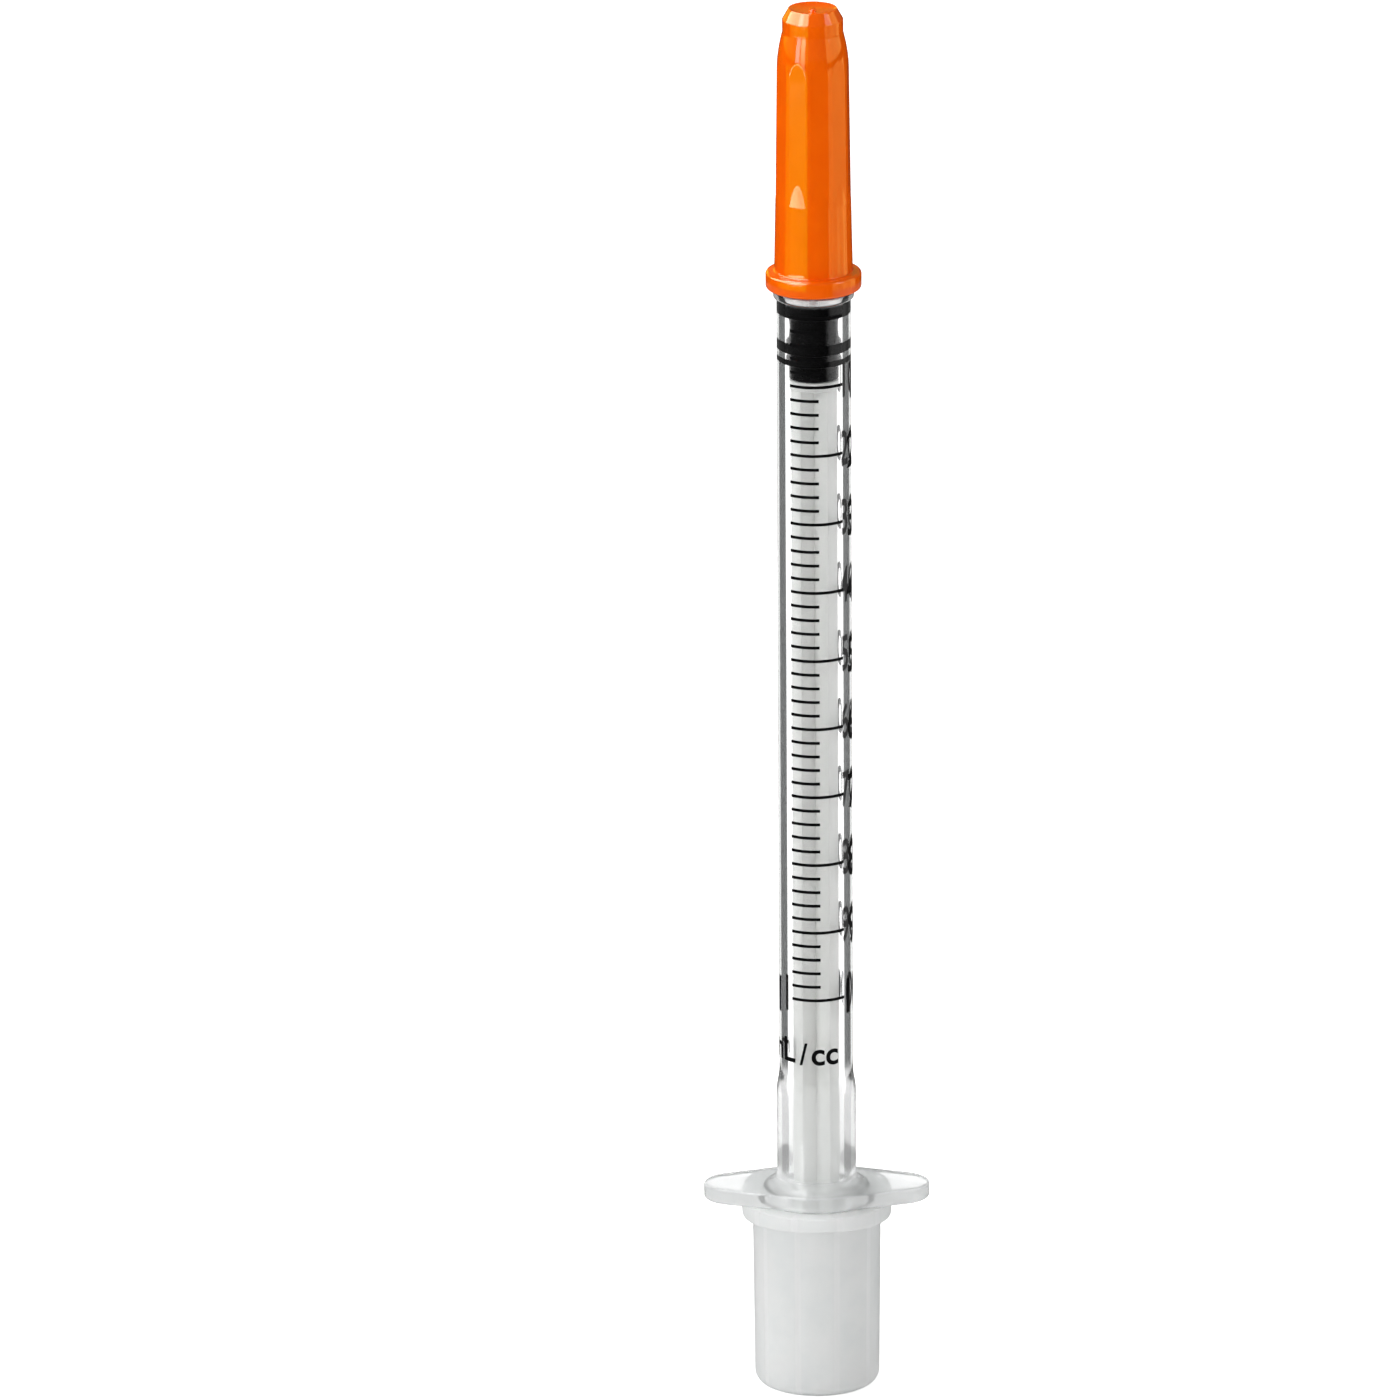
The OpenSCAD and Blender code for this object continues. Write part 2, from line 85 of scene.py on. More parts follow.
def linear(hex_code: str) -> Colour:
    """Turns an sRGB hex colour to linear light.

    Args:
        hex_code: Six hex digits, such as "F08010".

    Returns:
        Red, green, blue and an alpha of one.
    """
    shares = [int(hex_code[i:i + 2], 16) / 255 for i in (0, 2, 4)]
    red, green, blue = (s / 12.92 if s <= 0.04045 else ((s + 0.055) / 1.055) ** 2.4 for s in shares)
    return red, green, blue, 1.0


def grey(level: float) -> Colour:
    """A neutral colour of this linear brightness."""
    return level, level, level, 1.0


def per_metre(size: float) -> float:
    """Texture scale whose features are about this many millimetres across."""
    return 1 / (size * MM)


def ease(share: float | np.ndarray) -> float | np.ndarray:
    """Smooth step from 0 to 1 as the share goes from 0 to 1."""
    return share * share * (3 - 2 * share)


def add_node(tree: Tree, kind: str, inputs: dict[str | int, Any] | None = None) -> Node:
    """Adds one node with its settings and its incoming links.

    Args:
        tree: The node tree that gets the node.
        kind: The node's type name, without ShaderNode.
        inputs: Values and links by input name or index, and settings by attribute name where the node
            has no such input. A link is a node and its output's name or index, or a node alone for
            its first output.

    Returns:
        The new node.
    """
    node = tree.nodes.new("ShaderNode" + kind)
    for key, value in (inputs or {}).items():
        source, output = value if isinstance(value, tuple) and len(value) == 2 else (value, 0)
        if isinstance(source, Node):
            tree.links.new(source.outputs[output], node.inputs[key])
        elif isinstance(key, int) or key in node.inputs:
            node.inputs[key].default_value = value
        else:
            setattr(node, key, value)
    return node


def new_material(name: str) -> tuple[bpy.types.Material, Tree, Node]:
    """Starts a node material.

    Args:
        name: Its name.

    Returns:
        The material, its tree, and the tree's only node, its texture coordinates.
    """
    material = bpy.data.materials.new(name)
    material.use_nodes = True
    material.node_tree.nodes.clear()
    return material, material.node_tree, add_node(material.node_tree, "TexCoord")


def set_ramp(node: Node, stops: Sequence[tuple[float, Colour]]) -> Node:
    """Gives a colour ramp its stops.

    Args:
        node: The colour ramp.
        stops: Position and colour of each stop, from left to right.

    Returns:
        The colour ramp.
    """
    ramp = node.color_ramp
    while len(ramp.elements) < len(stops):
        ramp.elements.new(0.5)
    for element, (position, colour) in zip(ramp.elements, stops):
        element.position, element.color = position, colour
    return node


def end_tree(tree: Tree, surface: Node, shade: str | None = None) -> None:
    """Ends a material's tree with its output.

    Args:
        tree: The material's tree.
        surface: Its shader.
        shade: Tint of the lamp light that reaches what is inside the piece, where it is see-through.
    """
    if shade:
        passing = add_node(tree, "BsdfTransparent", {"Color": linear(shade)})
        rays = add_node(tree, "LightPath")
        surface = add_node(tree, "MixShader", {0: (rays, "Is Shadow Ray"), 1: surface, 2: passing})
    add_node(tree, "OutputMaterial", {"Surface": surface})


@dataclass(frozen=True)
class Finish:
    """A real material with slightly uneven colour and gloss, and a fine relief where it has one.

    Attributes:
        name: The real material and how it was made.
        patch: Size of the uneven patches.
        gloss: Roughness at the patches' low and high ends.
        settings: What is the same all over, by the shader's socket.
        colours: Position in the patches' range and colour, unless the colour is one of the settings.
        detail: Detail of the patches.
        stretch: Scale of the patches along Z, small for lines.
        relief: Height of the relief, with its strength.
        grain: Size of the relief's own grain, unless it follows the patches.
        shade: Tint of the light that passes through, where it is see-through.
    """

    name: str
    patch: float
    gloss: Point
    settings: dict[str, Any]
    colours: tuple[tuple[float, str], ...] = ()
    detail: float = 3.0
    stretch: float = 1.0
    relief: float = 0.0
    relief_strength: float = 0.4
    grain: float | None = None
    shade: str | None = None

    def tint(self, tree: Tree, place: Node, noise: Node) -> Link:
        """Adds the colour's nodes.

        Args:
            tree: The material's tree.
            place: Its texture coordinates, for finishes whose colour depends on them.
            noise: Its uneven patches.

        Returns:
            The colour's output.
        """
        stops = [(stop, linear(code)) for stop, code in self.colours]
        return set_ramp(add_node(tree, "ValToRGB", {"Fac": noise}), stops)

    def build(self) -> bpy.types.Material:
        """Makes the material.

        Returns:
            A material with uneven colour and gloss.
        """
        material, tree, place = new_material(self.name)
        where: Link = (place, "Object")
        if self.stretch != 1:
            where = add_node(tree, "Mapping", {"Scale": (1.0, 1.0, self.stretch), "Vector": where})
        noise = add_node(tree, "TexNoise", {"Scale": per_metre(self.patch), "Detail": self.detail, "Vector": where})
        gloss = add_node(tree, "MapRange", {
            "From Min": NOISE_LOW, "From Max": NOISE_HIGH, "To Min": self.gloss[0], "To Max": self.gloss[1],
            "Value": noise,
        })
        inputs = {**self.settings, "Roughness": gloss}
        if self.colours:
            inputs["Base Color"] = self.tint(tree, place, noise)
        if self.relief:
            grain = noise
            if self.grain:
                grain = add_node(tree, "TexNoise", {"Scale": per_metre(self.grain), "Detail": 2.0, "Vector": where})
            inputs["Normal"] = add_node(tree, "Bump", {
                "Strength": self.relief_strength, "Distance": self.relief * MM, "Height": grain,
            })
        end_tree(tree, add_node(tree, "BsdfPrincipled", inputs), self.shade)
        return material


@dataclass(frozen=True)
class RibbedFinish(Finish):
    """A milky finish that is whiter where ribs inside the piece make its wall thicker."""

    thick: str = "FDFEFE"
    rib_count: int = 10
    half_rib: Point = (0.05, 0.1)

    def tint(self, tree: Tree, place: Node, noise: Node) -> Link:
        """Adds the colour's nodes.

        Args:
            tree: The material's tree.
            place: Its texture coordinates.
            noise: Its uneven patches.

        Returns:
            The colour's output.
        """
        plain = super().tint(tree, place, noise)
        turn = add_node(tree, "TexGradient", {"gradient_type": "RADIAL", "Vector": (place, "Object")})
        pitches = add_node(tree, "Math", {"operation": "MULTIPLY", 1: float(self.rib_count), 0: turn})
        within = add_node(tree, "Math", {"operation": "FRACT", 0: pitches})
        ribs = add_node(tree, "ValToRGB", {"Fac": within})
        full, none = self.half_rib
        on, off = grey(1.0), grey(0.0)
        set_ramp(ribs, [(0.0, on), (full, on), (none, off), (1 - none, off), (1 - full, on), (1.0, on)])
        mixed = add_node(tree, "Mix", {"data_type": "RGBA", 7: linear(self.thick), 0: ribs, 6: plain})
        return mixed, 2


@dataclass(frozen=True)
class ClearPolypropylene:
    """Clarified polypropylene, injection moulded: the barrel.

    The polished tube looks like glass. Along each edge, where a line of sight passes beside the bore,
    a dark grey bar is painted into the plastic's tint. It is a painted reflection of the darker sides of the
    room in the bore's wall, with a light grey painted beyond it at the very edge. The flange, the collar
    and the stop ring are thicker and cooled more slowly, so they are a little milky.
    """

    name: str = "clarified_polypropylene_moulded"
    ior: float = 1.49
    specular: float = 0.05
    clear: str = "F6F6F6"
    milk: str = "F8F9F9"
    # Painted reflection: the dark grey of the edge bars, and the light grey painted beyond them at the very edge.
    painted_bar: str = "1E1F1F"
    rim: str = "DADCDA"
    shade: str = "D8DAD9"
    bar_from: float = 2.42
    bar_to: float = 2.93
    bar_blur: float = 0.03
    rim_blur: float = 0.05
    bar_span: float = 4.0
    outside_from: float = 2.7
    flow_size: float = 6.0
    flow_relief: float = 0.02
    polish: Point = (0.012, 0.03)
    milk_passes: float = 0.7
    milk_roughness: float = 0.16
    tall: float = 120.0
    milky: tuple[Point, ...] = (
        (17.8, 0.96), (18.8, 0.7), (25.7, 0.5), (27.4, 0.0), (94.4, 0.0), (94.45, 0.7), (95.4, 0.7), (95.45, 0.0),
    )
    # How much of the painted edge bars shows, by height.
    painted_bars_by_height: tuple[Point, ...] = ((18.4, 0.0), (19.2, 0.55), (27.4, 0.6), (28.2, 1.0))

    def up_ramp(self, tree: Tree, place: Node, stops: Sequence[Point]) -> Node:
        """Adds the nodes that give a value by height.

        Args:
            tree: The material's tree.
            place: Its texture coordinates.
            stops: Heights in millimetres and the value at each.

        Returns:
            A grey ramp over the height.
        """
        split = add_node(tree, "SeparateXYZ", {0: (place, "Object")})
        height = add_node(tree, "MapRange", {"From Max": self.tall * MM, "Value": (split, "Z")})
        shades = [(at / self.tall, grey(level)) for at, level in stops]
        return set_ramp(add_node(tree, "ValToRGB", {"Fac": height}), shades)

    def painted_edge_bars(self, tree: Tree, place: Node, plain: Link) -> Node:
        """Adds the nodes that paint a dark bar into the tint where a line of sight passes beside the bore, a painted
        reflection of the darker sides of the room in the bore's wall.

        The share that faces away, from Layer Weight, and the distance from the axis give how far
        off the axis the line of sight passes, which is set against the bore's radius.

        Args:
            tree: The material's tree.
            place: Its texture coordinates.
            plain: The tint without the bars.

        Returns:
            The plastic's tint with the painted reflection: dark in the bars, light grey beyond them at the very edge,
            on the outside only.
        """
        flat = add_node(tree, "Mapping", {"Scale": (1.0, 1.0, 0.0), "Vector": (place, "Object")})
        radius = add_node(tree, "VectorMath", {"operation": "LENGTH", 0: flat})
        outside = add_node(tree, "Math", {
            "operation": "GREATER_THAN", 1: self.outside_from * MM, 0: (radius, "Value"),
        })
        facing = add_node(tree, "LayerWeight", {"Blend": 0.5})
        rest = add_node(tree, "Math", {"operation": "SUBTRACT", 0: 2.0, 1: (facing, "Facing")})
        squared = add_node(tree, "Math", {"operation": "MULTIPLY", 0: (facing, "Facing"), 1: rest})
        sine = add_node(tree, "Math", {"operation": "SQRT", 0: squared})
        off_axis = add_node(tree, "Math", {"operation": "MULTIPLY", 0: sine, 1: (radius, "Value")})
        share = add_node(tree, "MapRange", {"From Max": self.bar_span * MM, "Value": off_axis})
        ramp = add_node(tree, "ValToRGB", {"Fac": share})
        # Painted reflection by distance off the axis: clear, then the dark bar, then the light grey edge.
        clear, dark, rim = linear(self.clear), linear(self.painted_bar), linear(self.rim)
        stops = (
            (self.bar_from - self.bar_blur, clear), (self.bar_from + self.bar_blur, dark),
            (self.bar_to - self.rim_blur, dark), (self.bar_to + self.rim_blur, rim),
        )
        set_ramp(ramp, [(stop / self.bar_span, colour) for stop, colour in stops])
        painted_bars_by_height = self.up_ramp(tree, place, self.painted_bars_by_height)
        share = add_node(tree, "Math", {"operation": "MULTIPLY", 0: outside, 1: painted_bars_by_height})
        return add_node(tree, "Mix", {"data_type": "RGBA", 0: share, 6: plain, 7: ramp})

    def build(self) -> bpy.types.Material:
        """Makes the material.

        Returns:
            A glass-like material that lets lamp light through to what is inside it.
        """
        material, tree, place = new_material(self.name)
        flow = add_node(tree, "TexNoise", {
            "Scale": per_metre(self.flow_size), "Detail": 2.0, "Vector": (place, "Object"),
        })
        milky = self.up_ramp(tree, place, self.milky)
        polish = add_node(tree, "MapRange", {
            "From Min": NOISE_LOW, "From Max": NOISE_HIGH, "To Min": self.polish[0], "To Max": self.polish[1],
            "Value": flow,
        })
        gloss = add_node(tree, "MapRange", {"To Max": self.milk_roughness, "Value": milky, "To Min": polish})
        passes = add_node(tree, "MapRange", {"To Min": 1.0, "To Max": self.milk_passes, "Value": milky})
        plain = add_node(tree, "Mix", {"data_type": "RGBA", 6: linear(self.clear), 7: linear(self.milk), 0: milky})
        # The tint gets the painted reflection of the edge bars.
        tint = self.painted_edge_bars(tree, place, (plain, 2))
        ripple = add_node(tree, "Bump", {"Strength": 0.02, "Distance": self.flow_relief * MM, "Height": flow})
        wall = add_node(tree, "BsdfPrincipled", {
            "IOR": self.ior, "Specular IOR Level": self.specular, "Base Color": (tint, 2), "Roughness": gloss,
            "Transmission Weight": passes, "Normal": ripple,
        })
        end_tree(tree, wall, self.shade)
        return material


def soaked(weight: float, radius: tuple[float, float, float]) -> dict[str, Any]:
    """Shader settings for light that soaks this far, in millimetres, into a plastic."""
    return {"Subsurface Weight": weight, "Subsurface Radius": radius, "Subsurface Scale": MM}


CLEAR_BARREL = ClearPolypropylene()
# Deep, even orange with a high gloss, and a glow where light soaks through its thin wall.
ORANGE_SHIELD = Finish(
    "orange_polyethylene_moulded", 2.5, (0.063, 0.0784),
    {"IOR": 1.51, "Specular IOR Level": 0.5, **soaked(0.15, (0.5, 0.2, 0.03))},
    ((0.35, "ED5C00"), (0.65, "F06000")), relief=0.0005, relief_strength=0.5, grain=0.08,
)
# Soft white with a satin gloss.
WHITE_ROD = Finish(
    "white_polypropylene_moulded", 2.5, (0.315, 0.392),
    {"IOR": 1.49, "Specular IOR Level": 0.5, **soaked(0.4, (0.6, 0.6, 0.6))},
    ((0.35, "F0F1EF"), (0.65, "F4F4F2")), relief=0.0015, relief_strength=0.5, grain=0.08,
)
# Unpigmented and milky, so what is inside shows faintly.
MILKY_CAP = RibbedFinish(
    "natural_polyethylene_moulded", 3.0, (0.288, 0.352),
    {"IOR": 1.51, "Specular IOR Level": 0.4, "Transmission Weight": 0.35, **soaked(1.0, (1.0, 1.0, 1.0))},
    ((0.35, "F0F2F2"), (0.65, "F7F8F7")), relief=0.002, shade="C4C6C5",
)
# Deep black with an oily sheen.
BLACK_RUBBER = Finish(
    "black_butyl_rubber_siliconed", 0.12, (0.224, 0.364), {"IOR": 1.52, "Specular IOR Level": 0.03},
    ((0.3, "020203"), (0.8, "050506")), relief=0.003,
)
# A thin satin film whose cover varies a little.
BLACK_INK = Finish(
    "black_pad_print_ink", 0.15, (0.38, 0.55), {"IOR": 1.5, "Specular IOR Level": 0.08},
    ((0.35, "060607"), (0.75, "101011")),
)
# Polished, with fine draw lines along the tube.
NEEDLE_STEEL = Finish(
    "stainless_steel_drawn", 0.03, (0.154, 0.308), {"Metallic": 1.0},
    ((0.3, "B9BCC0"), (0.7, "C9CCCF")), detail=2.0, stretch=0.02,
)
# A clear bead with a wet, slightly uneven gloss.
NEEDLE_ADHESIVE = Finish(
    "acrylic_adhesive_cured", 0.4, (0.03, 0.09),
    {"Base Color": linear("EEF1F0"), "IOR": 1.5, "Transmission Weight": 0.85}, detail=2.0, shade="E6E9E8",
)


def arc(
    centre: Point, radius: float, start: float, end: float, steps: int, rise: float | None = None,
) -> list[Point]:
    """Points along an arc in an outline.

    Args:
        centre: Radius and height of its centre.
        radius: Its own radius.
        start: First angle in degrees.
        end: Last angle in degrees.
        steps: Segments along it.
        rise: Its radius upwards, where that differs.

    Returns:
        The points, both ends among them.
    """
    turns = [math.radians(start + (end - start) * i / steps) for i in range(steps + 1)]
    rise = radius if rise is None else rise
    return [(centre[0] + radius * math.cos(t), centre[1] + rise * math.sin(t)) for t in turns]


def run(radius: float, low: float, high: float, steps: int, end_radius: float | None = None) -> list[Point]:
    """Evenly spaced outline points along a side, up to but not at its far end, which may have its own radius."""
    lean = 0.0 if end_radius is None else end_radius - radius
    return [(radius + lean * i / steps, low + (high - low) * i / steps) for i in range(steps)]


def turn_angles(count: int, crowd: float = 0.0) -> np.ndarray:
    """Rising angles round a piece, in radians from +X, closer together near the X axis as crowd nears 0.5."""
    even = np.linspace(0, 2 * math.pi, count, endpoint=False)
    return even - crowd * np.sin(2 * even)


def off_middle(angles: np.ndarray, count: int, first: float) -> np.ndarray:
    """Angle to the nearest of a number of evenly spaced middles, the first of them in degrees from +X."""
    pitch = 2 * math.pi / count
    return (angles - math.radians(first) + pitch / 2) % pitch - pitch / 2


@dataclass
class Skin:
    """Closed loops of points round Z that one surface is stretched over, anticlockwise from above."""

    angles: np.ndarray
    loops: list[np.ndarray] = field(default_factory=list)

    def ring(self, radius: float | np.ndarray, height: float | np.ndarray) -> None:
        """Adds a loop.

        Args:
            radius: Its radius, one for all angles or one for each.
            height: Its height, one for all angles or one for each.
        """
        flat = np.broadcast_to(np.asarray(radius, float), self.angles.shape)
        up = np.broadcast_to(np.asarray(height, float), self.angles.shape)
        self.loops.append(np.stack([flat * np.cos(self.angles), flat * np.sin(self.angles), up], axis=1))

    def turned(self, outline: Iterable[Point]) -> None:
        """Adds a round loop for each radius and height of an outline."""
        for radius, height in outline:
            self.ring(radius, height)

    def mesh(
        self, name: str, joined: bool = False, start_pole: float | None = None, end_pole: float | None = None,
    ) -> Object:
        """Skins the loops into one smooth-shaded mesh object.

        Args:
            name: Name of the new object.
            joined: Whether the last loop joins the first, as in a hollow piece.
            start_pole: Height of the point on the axis that closes the first loop.
            end_pole: Height of the point on the axis that closes the last loop.

        Returns:
            The object, at the origin.
        """
        count, rows = len(self.loops[0]), len(self.loops)
        here = np.arange(count)
        there = (here + 1) % count
        faces: list[Sequence[int]] = []
        for row in range(rows if joined else rows - 1):
            low, high = row * count, ((row + 1) % rows) * count
            faces += np.stack([low + here, low + there, high + there, high + here], axis=1).tolist()
        verts = (np.concatenate(self.loops) * MM).tolist()
        for pole, row, flip in ((start_pole, 0, True), (end_pole, rows - 1, False)):
            if pole is not None:
                verts.append((0.0, 0.0, pole * MM))
                tip, base = len(verts) - 1, row * count
                fan = [(base + a, base + b, tip) for a, b in zip(here.tolist(), there.tolist())]
                faces += [(b, a, t) for a, b, t in fan] if flip else fan
        mesh = bpy.data.meshes.new(name)
        mesh.from_pydata(verts, [], faces)
        mesh.validate()
        smooth(mesh)
        return show(name, mesh)


def smooth(mesh: bpy.types.Mesh) -> None:
    """Shades a mesh smooth, with edges sharp where its faces meet at a wide angle."""
    mesh.shade_smooth()
    mesh.set_sharp_from_angle(angle=math.radians(SHARP_FROM))


def coat(mesh: bpy.types.Mesh, material: bpy.types.Material) -> None:
    """Gives a mesh its only material."""
    mesh.materials.clear()
    mesh.materials.append(material)


def show(name: str, data: bpy.types.ID) -> Object:
    """Puts a new object with this data in the scene.

    Args:
        name: The object's name.
        data: Its mesh, curve, lamp or camera data.

    Returns:
        The object.
    """
    thing = bpy.data.objects.new(name, data)
    bpy.context.scene.collection.objects.link(thing)
    return thing


def dress(
    piece: Object, body: Body, material: bpy.types.Material, node: str | None = None,
) -> None:
    """Gives a piece its material and its body, and hides the CAD node that it replaces.

    Args:
        piece: The piece.
        body: The body that it rides on.
        material: Its material.
        node: The CAD node that it replaces, if any.
    """
    coat(piece.data, material)
    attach(piece, body.value)
    if node:
        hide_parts(node)
    log.info("%s: %d faces, on %s, finish %s", piece.name, len(piece.data.polygons), body.value, material.name)


@dataclass
class Heights:
    """Heights that several pieces share, in millimetres above the cap's underside."""

    disc: float = 2.7
    disc_top: float = 3.35
    cap_top: float = 16.15
    collar: float = 10.9
    flange: float = 16.2
    deck: float = 17.5
    tail: float = 87.7
    stopper: float = 94.28
    wall: float = 94.4
    ring: float = 94.45
    nose: float = 95.25
    shield: float = 95.3
    nose_top: float = 101.95
    shield_top: float = 119.2


@dataclass
class Barrel:
    """The clear barrel: tube, thicker foot, finger flange, collar and nose in one moulding."""

    at: Heights
    bore_r: float = 2.32
    tube_r: float = 3.075
    foot_r: float = 3.3
    foot_h: float = 8.2
    taper_h: float = 1.9
    mouth_r: float = 2.52
    mouth_h: float = 2.1
    mouth_taper_h: float = 0.35
    flange_mid_r: float = 4.85
    flange_end_r: float = 2.4
    flange_w: float = 18.836
    flange_round: float = 0.22
    fillet_r: float = 1.0
    collar_r: float = 4.4
    collar_in_r: float = 3.88
    collar_bevel: float = 0.25
    ring_r: float = 3.35
    ring_round: float = 0.25
    nose_r: float = 2.4
    nose_round: float = 1.4
    skirt_r: float = 2.5
    skirt_h: float = 1.5
    needle_hole_r: float = 0.16
    needle_root: float = 95.55
    channel_r: float = 0.3
    well_r: float = 0.71
    well_tip_r: float = 0.26
    well_h: float = 0.9
    round_count: int = 256
    crowd: float = 0.35

    def flange_radius(self, angles: np.ndarray) -> np.ndarray:
        """Distance from the axis to the flange's edge, at each angle.

        Args:
            angles: Angles from +X, in radians.

        Returns:
            The radius at each angle, over a round middle, two round ends and straight sides.
        """
        end_x = self.flange_w / 2 - self.flange_end_r
        lean = math.asin((self.flange_mid_r - self.flange_end_r) / end_x)
        folded = np.abs(np.arctan2(np.abs(np.sin(angles)), np.abs(np.cos(angles))))
        end_from = math.atan2(self.flange_end_r * math.cos(lean), end_x + self.flange_end_r * math.sin(lean))
        side = self.flange_mid_r / np.sin(folded + lean)
        reach = np.sqrt(np.maximum(self.flange_end_r ** 2 - (end_x * np.sin(folded)) ** 2, 0))
        end = end_x * np.cos(folded) + reach
        return np.where(folded >= math.pi / 2 - lean, self.flange_mid_r, np.where(folded >= end_from, side, end))

    def add_flange(self, skin: Skin) -> None:
        """Adds the finger flange from the collar's top to the foot of the tube.

        Args:
            skin: The barrel's skin so far.
        """
        at, bend = self.at, self.flange_round
        edge = self.flange_radius(skin.angles) - bend
        fillet_at = self.foot_r + self.fillet_r
        for share in (0.35, 0.7):
            skin.ring(self.collar_r + (edge - self.collar_r) * share, at.flange)
        for level, first in ((at.flange + bend, -90), (at.deck - bend, 0)):
            for turn in range(7):
                t = math.radians(first + 15 * turn)
                skin.ring(edge + bend * math.cos(t), level + bend * math.sin(t))
        for share in (0.7, 0.35):
            skin.ring(fillet_at + (edge - fillet_at) * share, at.deck)
        skin.turned(arc((fillet_at, at.deck + self.fillet_r), self.fillet_r, 270, 180, 14))

    def build(self) -> Object:
        """Makes the barrel's mesh.

        Returns:
            One closed surface, outside and inside.
        """
        at = self.at
        skin = Skin(turn_angles(self.round_count, self.crowd))
        skin.turned([
            (self.collar_in_r, at.collar), (self.collar_r - self.collar_bevel, at.collar),
            (self.collar_r, at.collar + self.collar_bevel),
        ])
        skin.turned(run(self.collar_r, at.collar + 1, at.flange, 4) + [(self.collar_r, at.flange)])
        self.add_flange(skin)
        foot_top = at.deck + self.foot_h
        skin.turned(run(self.foot_r, at.deck + self.fillet_r + 1, foot_top, 4))
        for t in (i / 12 for i in range(13)):
            skin.ring(self.foot_r + (self.tube_r - self.foot_r) * ease(t), foot_top + self.taper_h * t)
        skin.turned(run(self.tube_r, foot_top + self.taper_h + 0.5, at.ring, 24) + [(self.tube_r, at.ring)])
        ring_at, skirt_top = self.ring_r - self.ring_round, at.nose + self.skirt_h
        nose_from = at.nose_top - self.nose_round
        skin.turned(arc((ring_at, at.ring + self.ring_round), self.ring_round, -90, 0, 6))
        skin.turned(arc((ring_at, at.nose - self.ring_round), self.ring_round, 0, 90, 6))
        skin.turned([(self.skirt_r, at.nose), (self.skirt_r, skirt_top - 0.1), (self.nose_r, skirt_top)])
        skin.turned(run(self.nose_r, skirt_top + 0.5, nose_from, 4))
        skin.turned(arc((self.nose_r - self.nose_round, nose_from), self.nose_round, 0, 90, 12))
        skin.turned([
            (self.well_r, at.nose_top), (self.well_tip_r, at.nose_top - self.well_h),
            (self.needle_hole_r, at.nose_top - self.well_h), (self.needle_hole_r, self.needle_root),
            (self.channel_r, self.needle_root), (self.channel_r, at.wall),
            (self.bore_r - 0.05, at.wall), (self.bore_r, at.wall - 0.05),
        ])
        mouth_top = at.deck + self.mouth_h + self.mouth_taper_h
        skin.turned(run(self.bore_r, at.wall - 1, mouth_top, 24))
        skin.turned([
            (self.bore_r, mouth_top), (self.mouth_r, mouth_top - self.mouth_taper_h), (self.mouth_r, at.flange),
            (self.collar_in_r, at.flange),
        ])
        skin.turned(run(self.collar_in_r, at.flange - 0.5, at.collar, 4))
        return skin.mesh("barrel_moulding", joined=True)


@dataclass
class Numerals:
    """Printed characters, pad printed on the tube: thin films wrapped round it."""

    tube_r: float = 3.075
    ink: float = 0.02
    weight: float = 0.018
    strip: float = 0.12
    weld: float = 0.004

    def flat_mesh(self, name: str, words: str) -> bmesh.types.BMesh:
        """Makes the characters flat, as wide and high as the built-in font has them.

        Args:
            name: Name for what is made on the way.
            words: The characters.

        Returns:
            Their faces.
        """
        curve = bpy.data.curves.new(name, "FONT")
        curve.body = words
        curve.align_x, curve.align_y = "CENTER", "CENTER"
        curve.offset = self.weight
        curve.resolution_u = 6
        holder = show(name + "_curve", curve)
        flat = bpy.data.meshes.new_from_object(holder.evaluated_get(bpy.context.evaluated_depsgraph_get()))
        bpy.data.objects.remove(holder)
        bpy.data.curves.remove(curve)
        work = bmesh.new()
        work.from_mesh(flat)
        bpy.data.meshes.remove(flat)
        return work

    def wrap(
        self, name: str, words: str, centre_a: float, centre_z: float, height: float, narrow: float = 0.92,
    ) -> Object:
        """Writes characters round the tube.

        Args:
            name: Name of the new object.
            words: The characters.
            centre_a: Middle of the word, in degrees from the reading side, anticlockwise from above.
            centre_z: Height of the characters' middle.
            height: Height of a capital or figure.
            narrow: Width of the characters compared with the built-in font's.

        Returns:
            A thin solid film that stands on the tube.
        """
        work = self.flat_mesh(name, words)
        low = min(v.co.y for v in work.verts)
        high = max(v.co.y for v in work.verts)
        scale = height / (high - low)
        for vert in work.verts:
            vert.co = Vector((vert.co.x * scale * narrow, (vert.co.y - (low + high) / 2) * scale, 0.0))
        bmesh.ops.remove_doubles(work, verts=work.verts, dist=self.weld)
        right = max(v.co.x for v in work.verts)
        cut = min(v.co.x for v in work.verts) + self.strip
        while cut < right:
            whole = work.verts[:] + work.edges[:] + work.faces[:]
            bmesh.ops.bisect_plane(work, geom=whole, plane_co=(cut, 0, 0), plane_no=(1, 0, 0), dist=1e-4)
            cut += self.strip
        bmesh.ops.recalc_face_normals(work, faces=work.faces)
        if sum(face.normal.z for face in work.faces) < 0:
            bmesh.ops.reverse_faces(work, faces=work.faces)
        top = bmesh.ops.extrude_face_region(work, geom=work.faces[:])
        for item in top["geom"]:
            if isinstance(item, bmesh.types.BMVert):
                item.co.z = self.ink
        bmesh.ops.recalc_face_normals(work, faces=work.faces)
        for vert in work.verts:
            radius = self.tube_r + vert.co.z
            turn = math.radians(centre_a - 90) + vert.co.x / self.tube_r
            vert.co = Vector((radius * math.cos(turn), radius * math.sin(turn), centre_z + vert.co.y)) * MM
        mesh = bpy.data.meshes.new(name)
        work.to_mesh(mesh)
        work.free()
        return show(name, mesh)


